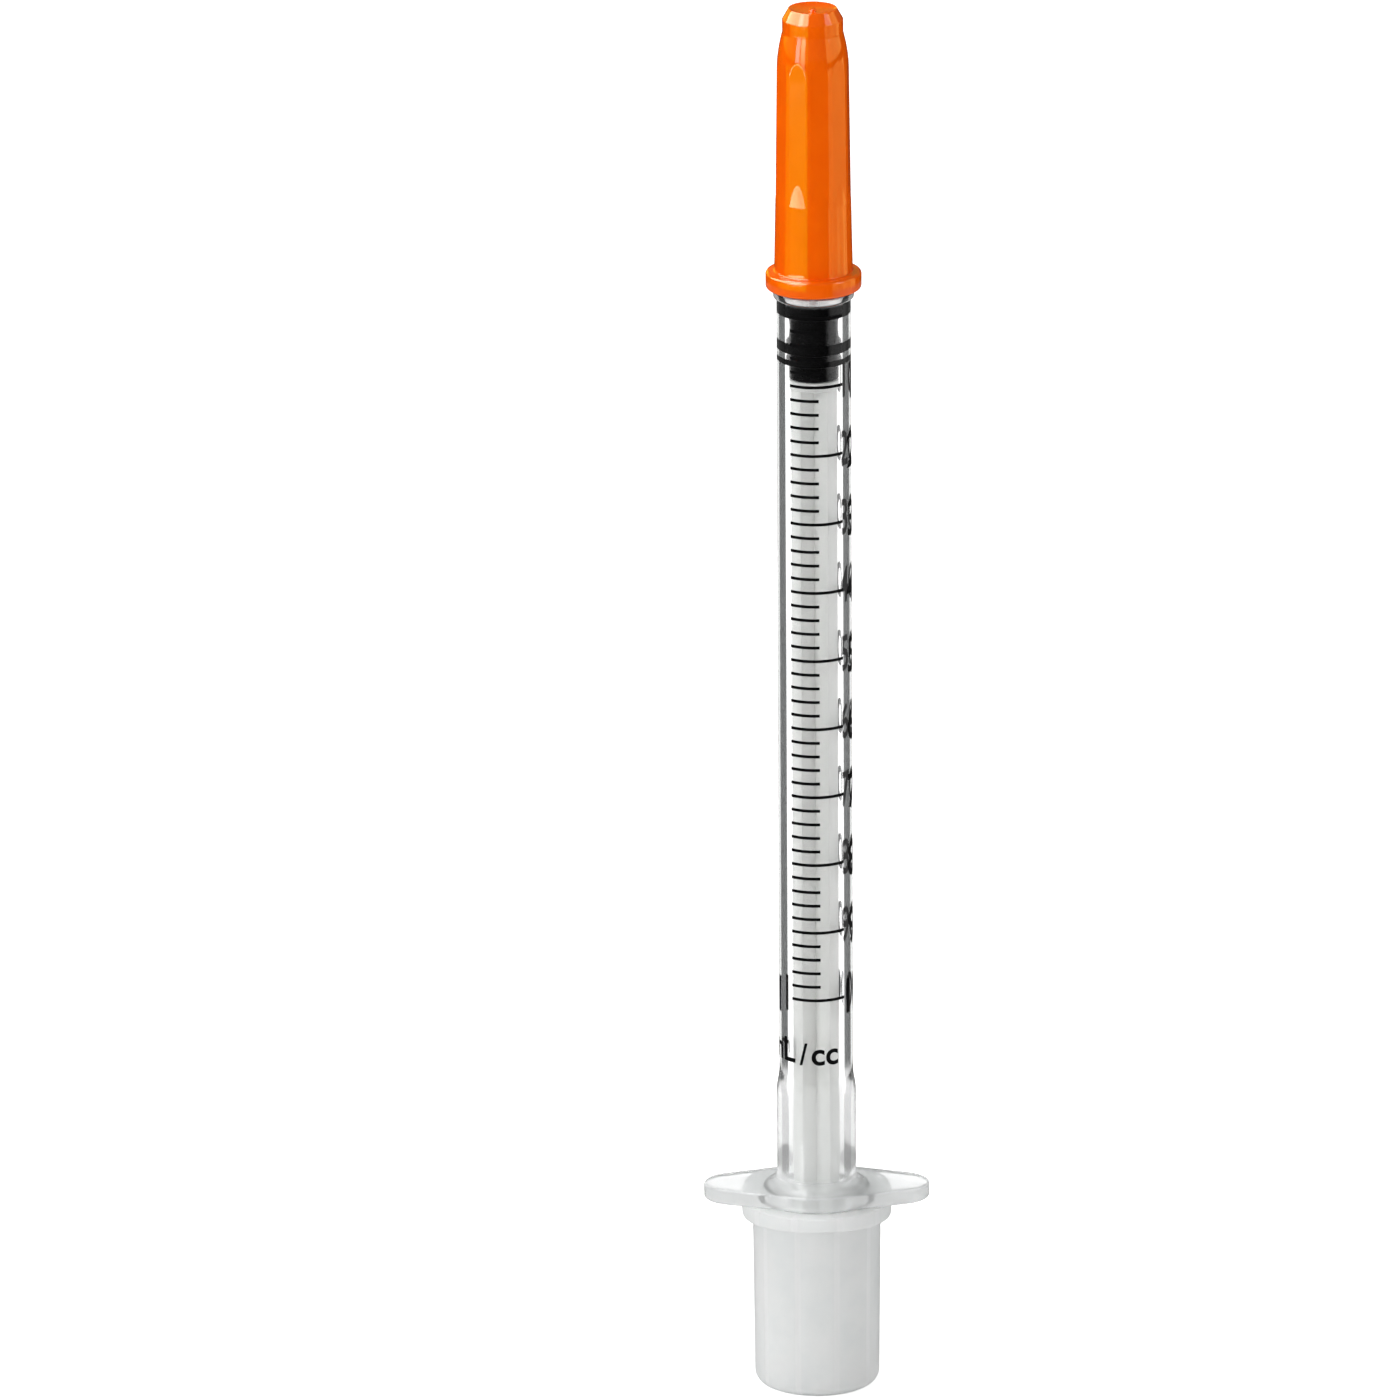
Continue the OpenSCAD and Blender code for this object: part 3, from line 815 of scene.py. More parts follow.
@dataclass
class PrintedMarks:
    """The print on the barrel that the CAD model lacks: the scale's numerals and its unit.

    Attributes:
        others: Name, characters, angle, height, drop below the last line and width of all but the numerals.
    """

    at: Heights
    scale_l: float = 59.1
    zero_drop: float = 0.7
    divisions: int = 50
    long_every: int = 5
    line_w: float = 0.25
    numeral_a: float = 96.0
    numeral_h: float = 3.1
    others: tuple[tuple[str, str, float, float, float, float], ...] = (
        ("numeral_1_volume", "1", -75.0, 3.1, 0.0, 0.92), ("unit_ml", "mL", -69.5, 2.1, 4.55, 1.0),
        ("unit_stroke", "/", -20.5, 1.95, 4.75, 0.85), ("unit_cc", "cc", 14.0, 1.4, 5.0, 1.0),
    )
    letters: Numerals = field(default_factory=Numerals)

    def build(self) -> list[Object]:
        """Makes the numerals and the unit.

        Returns:
            The printed pieces, apart from the lines, which are a CAD node.
        """
        zero = self.at.stopper - self.zero_drop - self.line_w / 2
        pitch = self.scale_l / self.divisions
        pieces = []
        for line in range(self.long_every, self.divisions + 1, self.long_every):
            label = str(2 * line)
            level = zero - line * pitch
            pieces.append(self.letters.wrap(f"numeral_{label}", label, self.numeral_a, level, self.numeral_h))
        for name, words, centre_a, height, drop, narrow in self.others:
            pieces.append(self.letters.wrap(name, words, centre_a, zero - self.scale_l - drop, height, narrow))
        return pieces


@dataclass
class Stopper:
    """The rubber stopper: ribs pressed flat on the bore, a waist, and a tail with the rod's socket."""

    at: Heights
    contact_r: float = 2.34
    rib_round: float = 0.12
    front_h: float = 1.23
    waist_l: float = 2.05
    waist_r: float = 2.0
    waist_share: float = 0.48
    mid_h: float = 1.0
    groove_l: float = 0.4
    groove_r: float = 2.1
    rear_h: float = 0.6
    tail_r: float = 2.05
    tail_round: float = 0.15
    face_rise: float = 0.04
    neck_r: float = 0.95
    head_r: float = 1.35
    neck_l: float = 1.4
    head_l: float = 1.8
    clear: float = 0.05
    round_count: int = 160

    def rib(self, top: float, height: float) -> list[Point]:
        """Outline of one rib from its upper edge down."""
        at, bend = self.contact_r - self.rib_round, self.rib_round
        return arc((at, top - bend), bend, 90, 0, 5) + arc((at, top - height + bend), bend, 0, -90, 5)

    def build(self) -> Object:
        """Makes the stopper's mesh.

        Returns:
            A closed form with its socket.
        """
        top = self.at.stopper
        front_low = top - self.front_h
        waist_at = front_low - self.waist_l * self.waist_share
        mid_top = front_low - self.waist_l
        rear_top = mid_top - self.mid_h - self.groove_l
        rear_low = rear_top - self.rear_h
        edge = self.contact_r - self.rib_round
        dip = edge - self.waist_r
        head = self.at.tail - self.clear + self.neck_l
        head_top = head + self.head_l
        outline = [(edge * s, top + self.face_rise * (1 - s * s)) for s in (0.12, 0.35, 0.6, 0.85)]
        outline += self.rib(top, self.front_h)
        outline += arc((edge, waist_at), dip, 90, 180, 10, front_low - waist_at)[1:]
        outline += arc((edge, waist_at), dip, 180, 270, 10, waist_at - mid_top)[1:-1]
        outline += self.rib(mid_top, self.mid_h)
        outline += [(self.groove_r, mid_top - self.mid_h - 0.06), (self.groove_r, rear_top + 0.06)]
        outline += self.rib(rear_top, self.rear_h)
        outline += [(self.tail_r + 0.04, rear_low - 0.05), (self.tail_r, rear_low - 0.12)]
        outline += arc((self.tail_r - self.tail_round, self.at.tail + self.tail_round), self.tail_round, 0, -90, 5)
        outline += [
            (self.neck_r, self.at.tail), (self.neck_r, head - self.clear), (self.head_r, head - self.clear),
            (self.head_r, head + self.head_l / 2), (self.neck_r, head_top + self.clear),
        ]
        skin = Skin(turn_angles(self.round_count))
        skin.turned(reversed(outline))
        return skin.mesh("stopper_rubber", start_pole=head_top + self.clear, end_pole=top + self.face_rise)


@dataclass
class PlungerRod:
    """The white rod: a thumb disc, four crossed fins, and the crown, neck and head at the stopper."""

    at: Heights
    fin_r: float = 2.05
    fin_t: float = 1.05
    fin_a: float = 45.0
    disc_r: float = 4.15
    disc_round: float = 0.2
    root_round: float = 0.3
    crown_t: float = 0.8
    crown_gap: float = 0.05
    neck_r: float = 0.9
    neck_l: float = 1.4
    head_r: float = 1.3
    head_l: float = 1.8
    arm_steps: int = 24
    shaft_steps: int = 40

    def cross(self, spread: float = 0.0) -> np.ndarray:
        """The crossed fins' outline.

        Args:
            spread: How far it stands out from the fins' own faces, as in the root's fillet.

        Returns:
            Points in millimetres, anticlockwise, the same count for every spread.
        """
        half, outer = self.fin_t / 2 + spread, self.fin_r + spread
        tip = math.asin(half / outer)
        shares = [i / self.arm_steps for i in range(self.arm_steps)]
        turns = [tip * math.sin(t * math.pi / 2) for t in shares]
        end = outer * math.cos(tip)
        eighth = [(outer * math.cos(turn), outer * math.sin(turn)) for turn in turns]
        eighth += [(end + (half - end) * t, half) for t in shares]
        quarter = eighth + [(half, half)] + [(y, x) for x, y in reversed(eighth[1:])]
        points = []
        for arm in range(4):
            spin = math.radians(self.fin_a + 90 * arm)
            cos, sin = math.cos(spin), math.sin(spin)
            points += [(x * cos - y * sin, x * sin + y * cos) for x, y in quarter]
        return np.array(points)

    def build(self) -> Object:
        """Makes the rod's mesh.

        Returns:
            A closed form from the thumb disc to the head.
        """
        at, bend = self.at, self.disc_round
        section = self.cross()
        crown = at.tail - self.crown_gap
        head = crown + self.neck_l
        head_top = head + self.head_l
        skin = Skin(np.unwrap(np.arctan2(section[:, 1], section[:, 0])))

        def finned(spread: float, z: float) -> None:
            """Adds one loop of the crossed fins."""
            shape = self.cross(spread)
            skin.loops.append(np.column_stack([shape, np.full(len(shape), z)]))

        skin.turned([(r, at.disc) for r in (0.8, 2.2, 3.4)])
        skin.turned(arc((self.disc_r - bend, at.disc + bend), bend, -90, 0, 6))
        skin.turned(arc((self.disc_r - bend, at.disc_top - bend), bend, 0, 90, 6))
        skin.turned([(3.3, at.disc_top)])
        for i in range(7):
            t = math.radians(15 * i)
            finned(self.root_round * (1 - math.sin(t)), at.disc_top + self.root_round * (1 - math.cos(t)))
        shaft_low, shaft_top = at.disc_top + self.root_round, crown - self.crown_t
        for i in range(1, self.shaft_steps + 1):
            finned(0.0, shaft_low + (shaft_top - shaft_low) * i / self.shaft_steps)
        skin.turned([
            (self.fin_r - 0.02, shaft_top + 0.001), (self.fin_r, shaft_top + 0.04), (self.fin_r, crown - 0.06),
            (self.fin_r - 0.06, crown), (self.neck_r, crown), (self.neck_r, head), (self.head_r - 0.05, head),
            (self.head_r, head + 0.05), (self.head_r, head + self.head_l / 2), (self.neck_r, head_top - 0.03),
            (self.neck_r - 0.05, head_top),
        ])
        return skin.mesh("plunger_rod_moulding", start_pole=at.disc, end_pole=head_top)


@dataclass
class NeedleShield:
    """The orange shield: a foot ring, a plain part, ramps that lead into grip flats, a shoulder and a dished end."""

    at: Heights
    ring_r: float = 3.97
    ring_h: float = 1.5
    ring_round: float = 0.3
    low_r: float = 3.24
    mid_r: float = 3.13
    high_r: float = 3.0
    neck_r: float = 2.52
    plain_h: float = 7.55
    ramp_h: float = 1.9
    shoulder_h: float = 3.6
    neck_h: float = 2.0
    flat_count: int = 10
    flat_depth: float = 0.09
    flat_a: float = 10.0
    join: float = 0.12
    end_round: float = 0.5
    end_round_h: float = 0.9
    dish: float = 0.3
    nub_r: float = 0.275
    nub_h: float = 0.25
    socket_r: float = 2.54
    nose_socket_r: float = 2.44
    socket_steps: tuple[float, float, float] = (97.15, 96.85, 96.75)
    core_r: float = 1.8
    core_from: float = 103.15
    core_mid: float = 110.0
    core_to: float = 116.8
    round_count: int = 720

    @property
    def flats(self) -> float:
        """Height at which the plain part ends and the ramps begin."""
        return self.at.shield + self.plain_h

    @property
    def shoulder(self) -> float:
        """Height at which the flats end and the shoulder begins."""
        return self.at.shield_top - self.neck_h - self.shoulder_h

    def straight_r(self, z: float) -> float:
        """Radius of the outside along its drafted grip, before the flats."""
        return self.mid_r + (self.high_r - self.mid_r) * (z - self.flats) / (self.shoulder - self.flats)

    def cut_distance(self, z: float) -> float:
        """Distance from the axis to each flat's plane at a height, or a large one below the flats."""
        return 99.0 if z < self.flats else self.straight_r(min(z, self.shoulder)) - self.flat_depth

    def outside(self, angles: np.ndarray, radius: float, z: float) -> np.ndarray:
        """Radius of the outside with the flats cut, and the ramps between plain part and flats.

        Args:
            angles: Angles from +X, in radians.
            radius: The uncut radius.
            z: Height in millimetres.

        Returns:
            The radius at each angle.
        """
        off = off_middle(angles, self.flat_count, self.flat_a - 90)
        cut = np.minimum(radius, self.cut_distance(z) / np.cos(off))
        if not self.flats <= z <= self.flats + self.ramp_h:
            return cut
        drop = self.mid_r - self.cut_distance(self.flats + self.ramp_h)
        return np.maximum(cut, self.mid_r - drop * (z - self.flats) / self.ramp_h)

    def side(self) -> list[Point]:
        """Outline of the outside before the flats are cut.

        Returns:
            Its points, from the foot ring's underside to the rim of the dished end.
        """
        foot, top, bend, join = self.at.shield, self.at.shield_top, self.ring_round, self.join
        neck, ramp_top = top - self.neck_h, self.flats + self.ramp_h
        rim, rim_low = self.neck_r - self.end_round, top - self.end_round_h
        points = [(self.socket_r + 0.08, foot)]
        points += arc((self.ring_r - bend, foot + bend), bend, -90, 0, 8)
        points += arc((self.ring_r - bend, foot + self.ring_h - bend), bend, 0, 90, 8)
        points += arc((self.low_r + join, foot + self.ring_h + join), join, 270, 180, 5)
        points += run(self.low_r, foot + self.ring_h + 0.6, self.flats, 16, self.mid_r)
        points += [(self.mid_r, self.flats - 0.03)]
        points += [(self.straight_r(z), z) for z in np.linspace(self.flats, ramp_top, 20)]
        points += [(self.straight_r(z), z) for z in np.linspace(ramp_top, self.shoulder, 28)[1:]]
        for t in (i / 24 for i in range(1, 25)):
            points.append((self.high_r - (self.high_r - self.neck_r) * t * t, self.shoulder + self.shoulder_h * t))
        return points + [
            (self.neck_r, neck + 0.1), (self.neck_r, rim_low - 0.12), (self.neck_r, rim_low - 0.04),
            (self.neck_r - 0.04, rim_low + 0.04), (rim + 0.05, top - 0.14), (rim + 0.01, top - 0.04), (rim - 0.03, top),
        ]

    def build(self) -> Object:
        """Makes the shield's mesh.

        Returns:
            A closed form, hollow inside.
        """
        at, core_r, nub_r = self.at, self.core_r, self.nub_r
        skin = Skin(turn_angles(self.round_count))
        for radius, z in self.side():
            skin.ring(self.outside(skin.angles, radius, z), z)
        dish_r = self.neck_r - self.end_round - 0.06
        floor = at.shield_top - self.dish
        nub_top = floor + self.nub_h
        skin.turned([(dish_r, at.shield_top - 0.015)])
        skin.turned(
            (0.55 + (dish_r - 0.55) * s, floor + (self.dish - 0.03) * s ** 2) for s in (0.85, 0.65, 0.45, 0.25, 0.1)
        )
        skin.turned([
            (0.45, floor), (nub_r + 0.02, floor), (nub_r, floor + 0.04), (nub_r, nub_top - 0.06),
            (nub_r * 0.75, nub_top - 0.01), (nub_r * 0.35, nub_top),
        ])
        first, second, third = self.socket_steps
        lining = Skin(skin.angles, [skin.loops[0]])
        lining.turned([
            (self.socket_r, at.shield + 0.08), (self.socket_r, third), (self.nose_socket_r, second),
            (self.nose_socket_r, first), (self.nose_socket_r, at.nose_top), (core_r, self.core_from),
            (core_r, self.core_mid), (core_r, self.core_to - 0.2), (core_r - 0.2, self.core_to), (0.6, self.core_to),
        ])
        outer = skin.mesh("needle_shield_moulding", end_pole=nub_top)
        return join_skins(outer, lining.mesh("shield_lining", end_pole=self.core_to))


def join_skins(outer: Object, inner: Object) -> Object:
    """Joins a hollow's lining to its outside along their common loop.

    Args:
        outer: The outside, which is kept.
        inner: The lining, which is taken into it with its faces turned to the hollow.

    Returns:
        The outside with its lining.
    """
    work = bmesh.new()
    work.from_mesh(inner.data)
    bmesh.ops.reverse_faces(work, faces=work.faces)
    work.from_mesh(outer.data)
    bmesh.ops.remove_doubles(work, verts=work.verts, dist=1e-7)
    bmesh.ops.recalc_face_normals(work, faces=work.faces)
    work.to_mesh(outer.data)
    work.free()
    bpy.data.objects.remove(inner)
    smooth(outer.data)
    return outer


@dataclass
class PlungerCap:
    """The milky cap over the thumb disc: a drafted cup, an arched lip and gripping ribs inside."""

    at: Heights
    top_r: float = 5.35
    low_r: float = 5.21
    floor_t: float = 1.0
    foot_round: float = 1.0
    lip_r: float = 6.238
    lip_h: float = 1.7
    lip_arch: float = 0.55
    lip_round: float = 0.5
    join: float = 0.1
    in_r: float = 4.6
    grip_r: float = 4.45
    rib_count: int = 10
    rib_w: float = 0.5
    rib_foot: float = 1.25
    rib_slope: float = 0.35
    rib_to: float = 15.4
    rib_fade: float = 0.3
    round_count: int = 480

    def lip_lift(self, x: np.ndarray) -> np.ndarray:
        """How far the lip's underside stands above its lowest level, at each x."""
        arch_r = (self.lip_r ** 2 + self.lip_arch ** 2) / (2 * self.lip_arch)
        return np.maximum(self.lip_arch - arch_r + np.sqrt(arch_r ** 2 - np.minimum(np.abs(x), self.lip_r) ** 2), 0)

    def bore(self, angles: np.ndarray, height: float) -> np.ndarray:
        """Radius of the cup's inside, with its ribs.

        Args:
            angles: Angles from +X, in radians.
            height: Height in millimetres.

        Returns:
            The radius at each angle.
        """
        off = off_middle(angles, self.rib_count, -90 + 180 / self.rib_count)
        across = np.abs(off) * self.in_r / (self.rib_w / 2)
        share = ease(np.clip((self.rib_foot - across) / self.rib_slope, 0, 1))
        fade = min(max((self.rib_to - height) / self.rib_fade, 0.0), 1.0)
        return self.in_r - (self.in_r - self.grip_r) * share * fade

    def build(self) -> Object:
        """Makes the cap's mesh.

        Returns:
            One closed surface, outside and inside.
        """
        top, join, bend = self.at.cap_top, self.join, self.lip_round
        lip_z = top - self.lip_h
        skin = Skin(turn_angles(self.round_count))
        cos = np.cos(skin.angles)
        skin.turned([(1.5, 0.0), (3.0, 0.0)])
        skin.turned(arc((self.low_r - self.foot_round, self.foot_round), self.foot_round, -90, 0, 14))
        for share in np.linspace(0.08, 1.0, 16):
            z = self.foot_round + (lip_z - join - self.foot_round) * share
            lift = self.lip_lift(self.top_r * cos) * max((share - 0.92) / 0.08, 0)
            skin.ring(self.low_r + (self.top_r - self.low_r) * share, z + lift)
        for t in (math.radians(turn) for turn in (30, 60, 90)):
            r = self.top_r + join * (1 - math.cos(t))
            skin.ring(r, lip_z - join + join * math.sin(t) + self.lip_lift(r * cos))
        full = bend * np.clip((self.lip_arch + 0.1 - self.lip_lift(self.lip_r * cos)) / self.lip_arch, 0.3, 1)
        for share in (0.3, 0.65):
            r = self.top_r + join + (self.lip_r - full - self.top_r - join) * share
            skin.ring(r, lip_z + self.lip_lift(r * cos))
        for t in (math.radians(turn) for turn in range(-90, 1, 10)):
            r = self.lip_r - full + full * math.cos(t)
            skin.ring(r, lip_z + self.lip_lift(r * cos) + full + full * math.sin(t))
        skin.turned([
            (self.lip_r, top - 0.08), (self.lip_r - 0.08, top), (self.in_r + 0.3, top), (self.in_r + 0.12, top),
            (self.in_r, top - 0.12),
        ])
        for z in [self.rib_to - dz for dz in (-0.01, 0.1, 0.2, 0.3)] + [12.0, 9.0, 6.0, 3.5, 1.4, 1.15]:
            skin.ring(self.bore(skin.angles, z), z)
        skin.turned([(self.in_r - 0.25, self.floor_t), (2.0, self.floor_t)])
        return skin.mesh("plunger_cap_moulding", start_pole=0.0, end_pole=self.floor_t)


@dataclass(frozen=True)
class Card:
    """A bent card of light that only shows as a reflection, standing round the syringe or lying on the floor.

    Attributes:
        name: Its name.
        turns: First and last angle in degrees from the camera's side, towards +X.
        levels: Brightness at its lower and its upper edge.
        colour: Its colour.
        rise: Angle of its lower edge at both its ends, and of its upper edge, in degrees, seen from
            the shield's height; none for a card that lies on the floor.
        off: How far from the axis it stands, in millimetres.
    """

    name: str
    turns: Point
    levels: Point
    colour: Colour = WHITE
    rise: tuple[float, float, float] | None = None
    off: float = 350.0


GOLD, PEACH, WARM, GREEN = (0.45, 0.8, 0.01, 1.0), (1.0, 0.62, 0.14, 1.0), (1.0, 1.0, 0.62, 1.0), (0.2, 0.8, 0.0, 1.0)
BARREL_CARDS = (Card("grey_floor_card", (-180.0, 180.0), (0.1, 0.1)),)
SHIELD_CARDS = (
    Card("gold_floor_card", (-93.0, -18.0), (3.0, 3.0), GOLD),
    Card("peach_floor_card", (46.0, 117.0), (3.0, 3.0), PEACH),
    Card("ramp_card", (-79.0, -28.0), (9.5, 9.5), WARM, (-12.4, -12.4, -9.9)),
    Card("strip_card", (-41.0, -26.0), (0.4, 9.0), WARM, (-12.0, -12.0, 17.0)),
    Card("high_card", (-122.0, -20.0), (9.5, 9.5), WARM, (4.5, 21.0, 75.0)),
    Card("yellow_card", (-170.0, -16.0), (1.6, 1.6), (0.8, 0.8, 0.03, 1.0), (-2.0, -2.0, 17.5), 400.0),
    Card("peach_card", (46.0, 115.0), (3.0, 3.0), PEACH, (-2.0, -2.0, 30.0), 400.0),
    Card("back_card", (130.0, 230.0), (0.3, 0.3), GREEN, (12.0, 12.0, 40.0), 400.0),
)
# Name, place and size in metres, and power in watts.
LAMPS = (
    ("left_softbox", (-0.433, -0.339, 0.33), (0.16, 0.62), 1.7),
    ("right_softbox", (0.9, -0.35, 0.55), (0.4, 0.6), 1.8),
    ("top_softbox", (-0.35, 0.3, 1.2), (0.5, 0.5), 6.5),
)


@dataclass
class Studio:
    """The plain studio: a pale floor, soft lamps, a bright surround, cards to mirror and the camera.

    Attributes:
        near_cards: What clear plastic mirrors of the floor, by direction: 0 is left, 0.25 the
            camera's side, 0.5 right and 0.75 behind. Dark in front, lighter on the right.
        inner_cards: What shows of the floor through clear plastic: dark in front, white behind.
    """

    at: Heights
    barrel: Object
    shield: Object
    image: float = 1400.0
    px_per_mm: float = 12.045
    axis_px: float = 815.0
    distance: float = 1700.0
    pitch: float = 17.3
    roll: float = -0.3
    aim_z: float = 59.68
    floor_half: float = 20.0
    floor_drop: float = 0.02
    floor_glow: float = 0.55
    floor_through: float = 1.65
    card_eye: float = 107.0
    card_steps: int = 24
    card_strength: float = 3.0
    card_lift: float = 0.3
    card_reach: float = 900.0
    far_from: float = 332.2
    far_level: float = 0.004
    near_cards: tuple[Point, ...] = ((0.0, 0.07), (0.37, 0.01), (0.41, 0.2), (0.55, 0.2), (0.6, 0.07))
    inner_cards: tuple[Point, ...] = (
        (0.0, 0.02), (0.37, 0.01), (0.41, 0.6), (0.48, 0.6), (0.52, 1.0), (0.98, 1.0), (1.0, 0.02),
    )

    def camera(self) -> Object:
        """Makes the camera at the photograph's viewing angle.

        Returns:
            The scene's camera.
        """
        data = bpy.data.cameras.new("studio_camera")
        data.sensor_width = 36.0
        data.lens = self.px_per_mm * self.distance * data.sensor_width / self.image
        data.clip_start, data.clip_end = 0.05, 60.0
        camera = show("studio_camera", data)
        tilt = math.radians(self.pitch)
        side = -(self.axis_px - self.image / 2) / self.px_per_mm
        rise = self.aim_z + self.distance * math.sin(tilt)
        camera.location = Vector((side, -self.distance * math.cos(tilt), rise)) * MM
        camera.rotation_euler = Euler((math.radians(90) - tilt, 0, 0))
        camera.rotation_euler.rotate_axis("Z", math.radians(self.roll))
        bpy.context.scene.camera = camera
        return camera

    def mirror_rays(self, tree: Tree) -> tuple[Node, Node]:
        """Tells mirrored rays from those that pass through clear plastic, which count as glossy too.

        Args:
            tree: The tree that gets the nodes.

        Returns:
            The Light Path node and the node whose value is 1 for mirrored rays.
        """
        rays = add_node(tree, "LightPath")
        bounced = add_node(tree, "Math", {
            "operation": "SUBTRACT", "use_clamp": True, 0: (rays, "Is Glossy Ray"), 1: (rays, "Is Transmission Ray"),
        })
        return rays, bounced

    def stand(self, card: Card, lit: bpy.types.Collection) -> Object:
        """Puts up one card.

        Args:
            card: The card.
            lit: The pieces that mirror it; no other piece does, so clear plastic stays neutral.

        Returns:
            The card's object.
        """
        material, tree, place = new_material(card.name)
        split = add_node(tree, "SeparateXYZ", {0: (place, "Generated")})
        low, high = card.levels
        level = add_node(tree, "MapRange", {"To Min": low, "To Max": high, "Value": (split, "Z")})
        _, bounced = self.mirror_rays(tree)
        shown = add_node(tree, "Math", {"operation": "MULTIPLY", 0: level, 1: bounced})
        glow = add_node(tree, "Emission", {"Color": card.colour, "Strength": shown})
        clear = add_node(tree, "BsdfTransparent")
        both = add_node(tree, "AddShader", {0: clear, 1: glow})
        end_tree(tree, both)
        if card.rise:
            first, last, top = (self.card_eye + card.off * math.tan(math.radians(angle)) for angle in card.rise)
            near = far = card.off
        else:
            first = last = top = self.card_lift
            near, far = self.far_from, self.card_reach
        verts = []
        for share in (i / self.card_steps for i in range(self.card_steps + 1)):
            turn = math.radians(card.turns[0] + (card.turns[1] - card.turns[0]) * share)
            for reach, z in ((near, first + (last - first) * share), (far, top)):
                verts.append((reach * math.sin(turn) * MM, -reach * math.cos(turn) * MM, z * MM))
        mesh = bpy.data.meshes.new(card.name)
        mesh.from_pydata(verts, [], [(2 * i, 2 * i + 2, 2 * i + 3, 2 * i + 1) for i in range(self.card_steps)])
        coat(mesh, material)
        sheet = show(card.name, mesh)
        sheet.light_linking.receiver_collection = lit
        return sheet

    def floor(self) -> Object:
        """Makes the pale floor.

        The camera sees lit paper. Mirrored rays see near_cards on it, and next to nothing beyond
        the distance that the tube mirrors in the main view, and rays through clear plastic see
        inner_cards, unless they light what is inside.

        Returns:
            A wide plane with a faint paper grain.
        """
        material, tree, place = new_material("white_paper_sweep")
        where: Link = (place, "Object")
        grain = add_node(tree, "TexNoise", {"Scale": per_metre(8.0), "Detail": 2.0, "Vector": where})
        tone = add_node(tree, "ValToRGB", {"Fac": grain})
        set_ramp(tone, [(0.3, linear("F8F8F8")), (0.7, linear("FAFAFA"))])
        paper = add_node(tree, "BsdfPrincipled", {"Roughness": 0.9, "Specular IOR Level": 0.1, "Base Color": tone})
        glow = add_node(tree, "Emission", {"Strength": self.floor_glow})
        lit = add_node(tree, "AddShader", {0: paper, 1: glow})
        turn = add_node(tree, "TexGradient", {"gradient_type": "RADIAL", "Vector": where})
        near, inner = (
            set_ramp(add_node(tree, "ValToRGB", {"Fac": turn}), [(stop, grey(level)) for stop, level in cards])
            for cards in (self.near_cards, self.inner_cards)
        )
        reach = add_node(tree, "VectorMath", {"operation": "LENGTH", 0: where})
        beyond = add_node(tree, "Math", {"operation": "GREATER_THAN", 1: self.far_from * MM, 0: (reach, "Value")})
        cards = add_node(tree, "Mix", {"data_type": "RGBA", 7: grey(self.far_level), 0: beyond, 6: near})
        mirrored = add_node(tree, "Emission", {"Strength": self.card_strength, "Color": (cards, 2)})
        rays, bounced = self.mirror_rays(tree)
        soft = add_node(tree, "Mix", {"data_type": "RGBA", 7: WHITE, 0: (rays, "Diffuse Depth"), 6: inner})
        through = add_node(tree, "Emission", {"Strength": self.floor_through, "Color": (soft, 2)})
        surface = add_node(tree, "MixShader", {0: bounced, 1: paper, 2: mirrored})
        for ray, shader in (("Is Transmission Ray", through), ("Is Camera Ray", lit)):
            surface = add_node(tree, "MixShader", {0: (rays, ray), 1: surface, 2: shader})
        end_tree(tree, surface)
        mesh = bpy.data.meshes.new("floor")
        half = self.floor_half
        mesh.from_pydata([(-half, -half, 0), (half, -half, 0), (half, half, 0), (-half, half, 0)], [], [(0, 1, 2, 3)])
        coat(mesh, material)
        floor = show("floor", mesh)
        floor.location.z = -self.floor_drop * MM
        return floor

    def lamp(self, name: str, place: tuple[float, float, float], size: Point, power: float) -> Object:
        """Adds one soft rectangular lamp aimed at the syringe.

        Args:
            name: Its name.
            place: Where it stands, in metres.
            size: Width and height in metres.
            power: Power in watts.

        Returns:
            The lamp.
        """
        data = bpy.data.lights.new(name, "AREA")
        data.shape = "RECTANGLE"
        data.size, data.size_y = size
        data.energy = power
        lamp = show(name, data)
        lamp.location = place
        aim = Vector((0, 0, self.aim_z * MM)) - Vector(place)
        lamp.rotation_euler = aim.to_track_quat("-Z", "Y").to_euler()
        return lamp

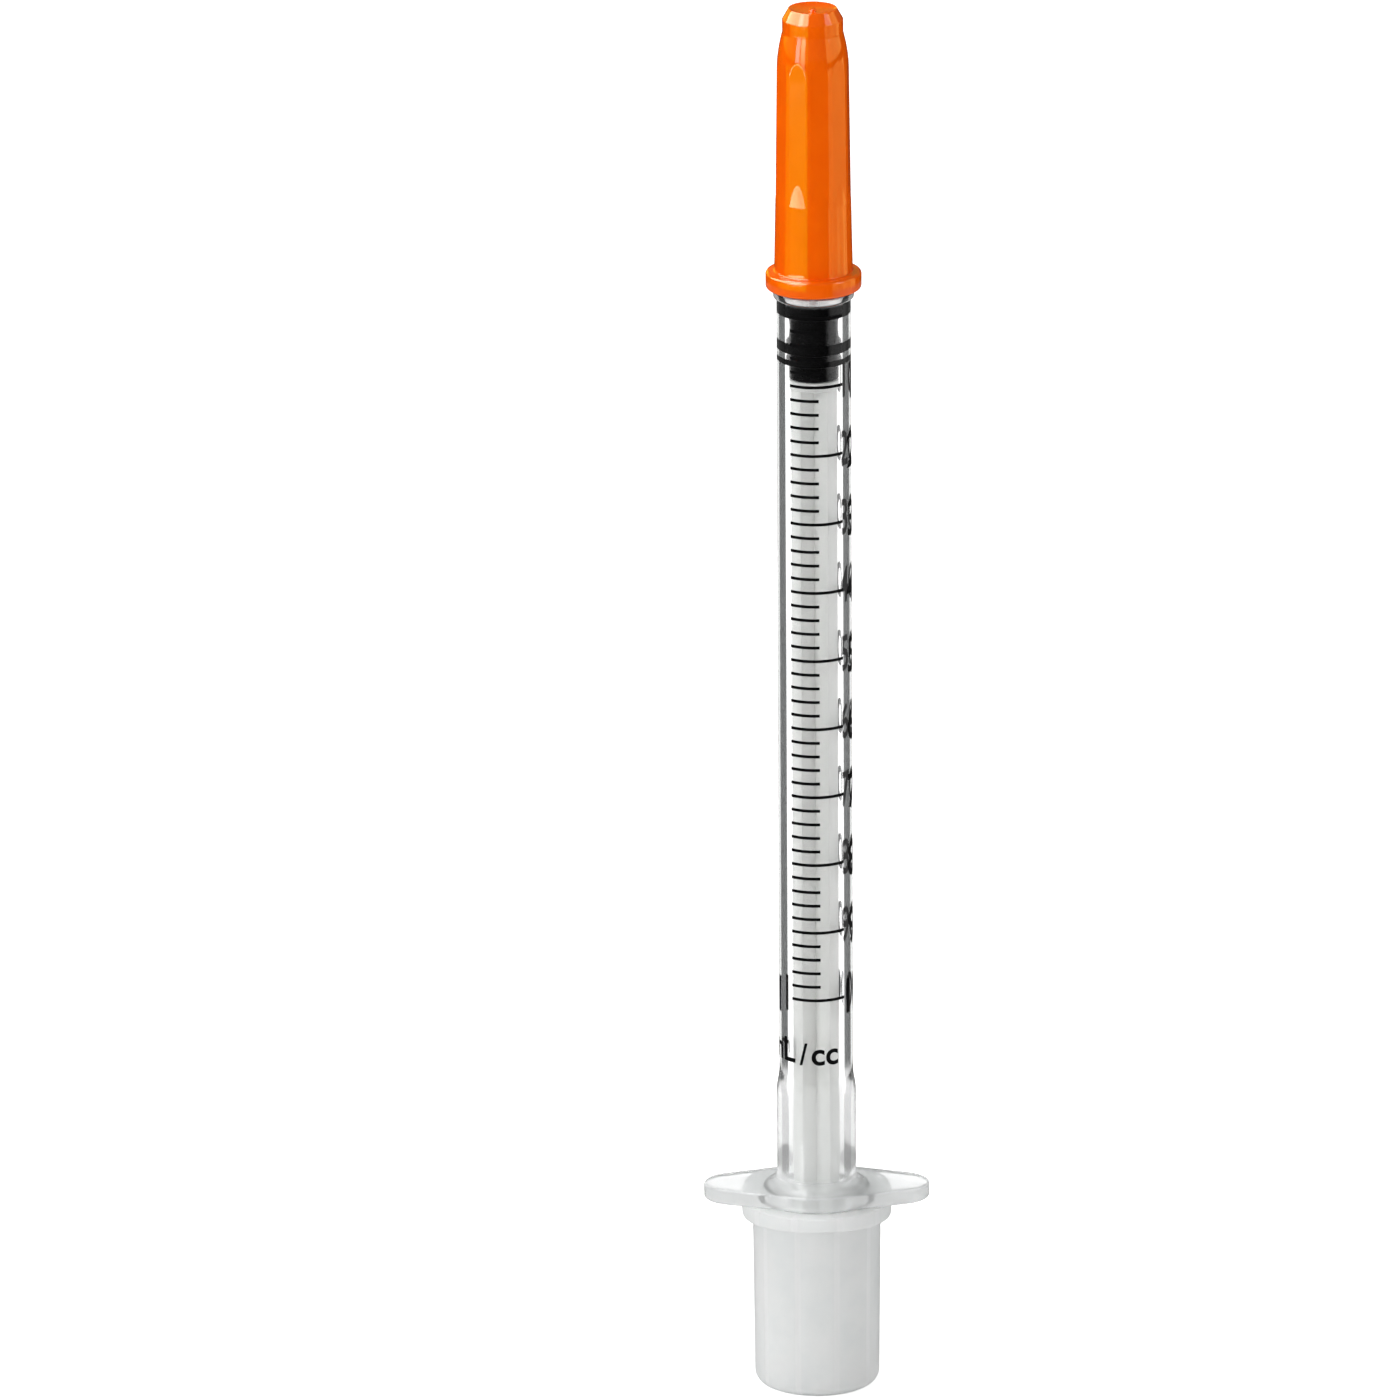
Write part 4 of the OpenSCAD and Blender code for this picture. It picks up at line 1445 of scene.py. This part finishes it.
    def surround(self) -> None:
        """Lights the scene from all round with a white studio, which mirrors see much darker."""
        world = bpy.data.worlds.new("white_studio")
        world.use_nodes = True
        tree = world.node_tree
        tree.nodes.clear()
        light = add_node(tree, "Background", {"Color": linear("FFFFFF"), "Strength": 0.5})
        dim = add_node(tree, "Background", {"Color": linear("FFFFFF"), "Strength": 0.08})
        _, bounced = self.mirror_rays(tree)
        both = add_node(tree, "MixShader", {0: bounced, 1: light, 2: dim})
        add_node(tree, "OutputWorld", {"Surface": both})
        bpy.context.scene.world = world

    def build(self) -> None:
        """Sets up the camera, floor, surround, cards and lamps."""
        self.camera()
        self.floor()
        self.surround()
        for piece, cards in ((self.barrel, BARREL_CARDS), (self.shield, SHIELD_CARDS)):
            lit = bpy.data.collections.new(piece.name + "_card_light")
            lit.objects.link(piece)
            for card in cards:
                self.stand(card, lit)
        for lamp in LAMPS:
            self.lamp(*lamp)
        view = bpy.context.scene.view_settings
        view.view_transform, view.look = "Standard", "None"
        view.exposure, view.gamma = 0.0, 1.0


def main() -> None:
    """Builds and dresses the syringe, then the studio."""
    logging.basicConfig(level=logging.INFO, format="%(name)s: %(message)s")
    at = Heights()
    clear = CLEAR_BARREL.build()
    ink = BLACK_INK.build()
    steel = NEEDLE_STEEL.build()
    adhesive = NEEDLE_ADHESIVE.build()
    barrel = Barrel(at).build()
    dress(barrel, Body.BARREL, clear, "barrel")
    for piece in PrintedMarks(at).build():
        dress(piece, Body.BARREL, ink)
    for node, material in (("printed_scale", ink), ("needle", steel), ("needle_glue", adhesive)):
        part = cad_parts[node]
        coat(part.data, material)
        log.info("%s: CAD node with finish %s", node, material.name)
    dress(Stopper(at).build(), Body.STOPPER, BLACK_RUBBER.build(), "stopper")
    dress(PlungerRod(at).build(), Body.ROD, WHITE_ROD.build(), "plunger_rod")
    shield = NeedleShield(at).build()
    dress(shield, Body.SHIELD, ORANGE_SHIELD.build(), "needle_shield")
    dress(PlungerCap(at).build(), Body.CAP, MILKY_CAP.build(), "plunger_cap")
    Studio(at, barrel, shield).build()


if __name__ == "__main__":
    main()
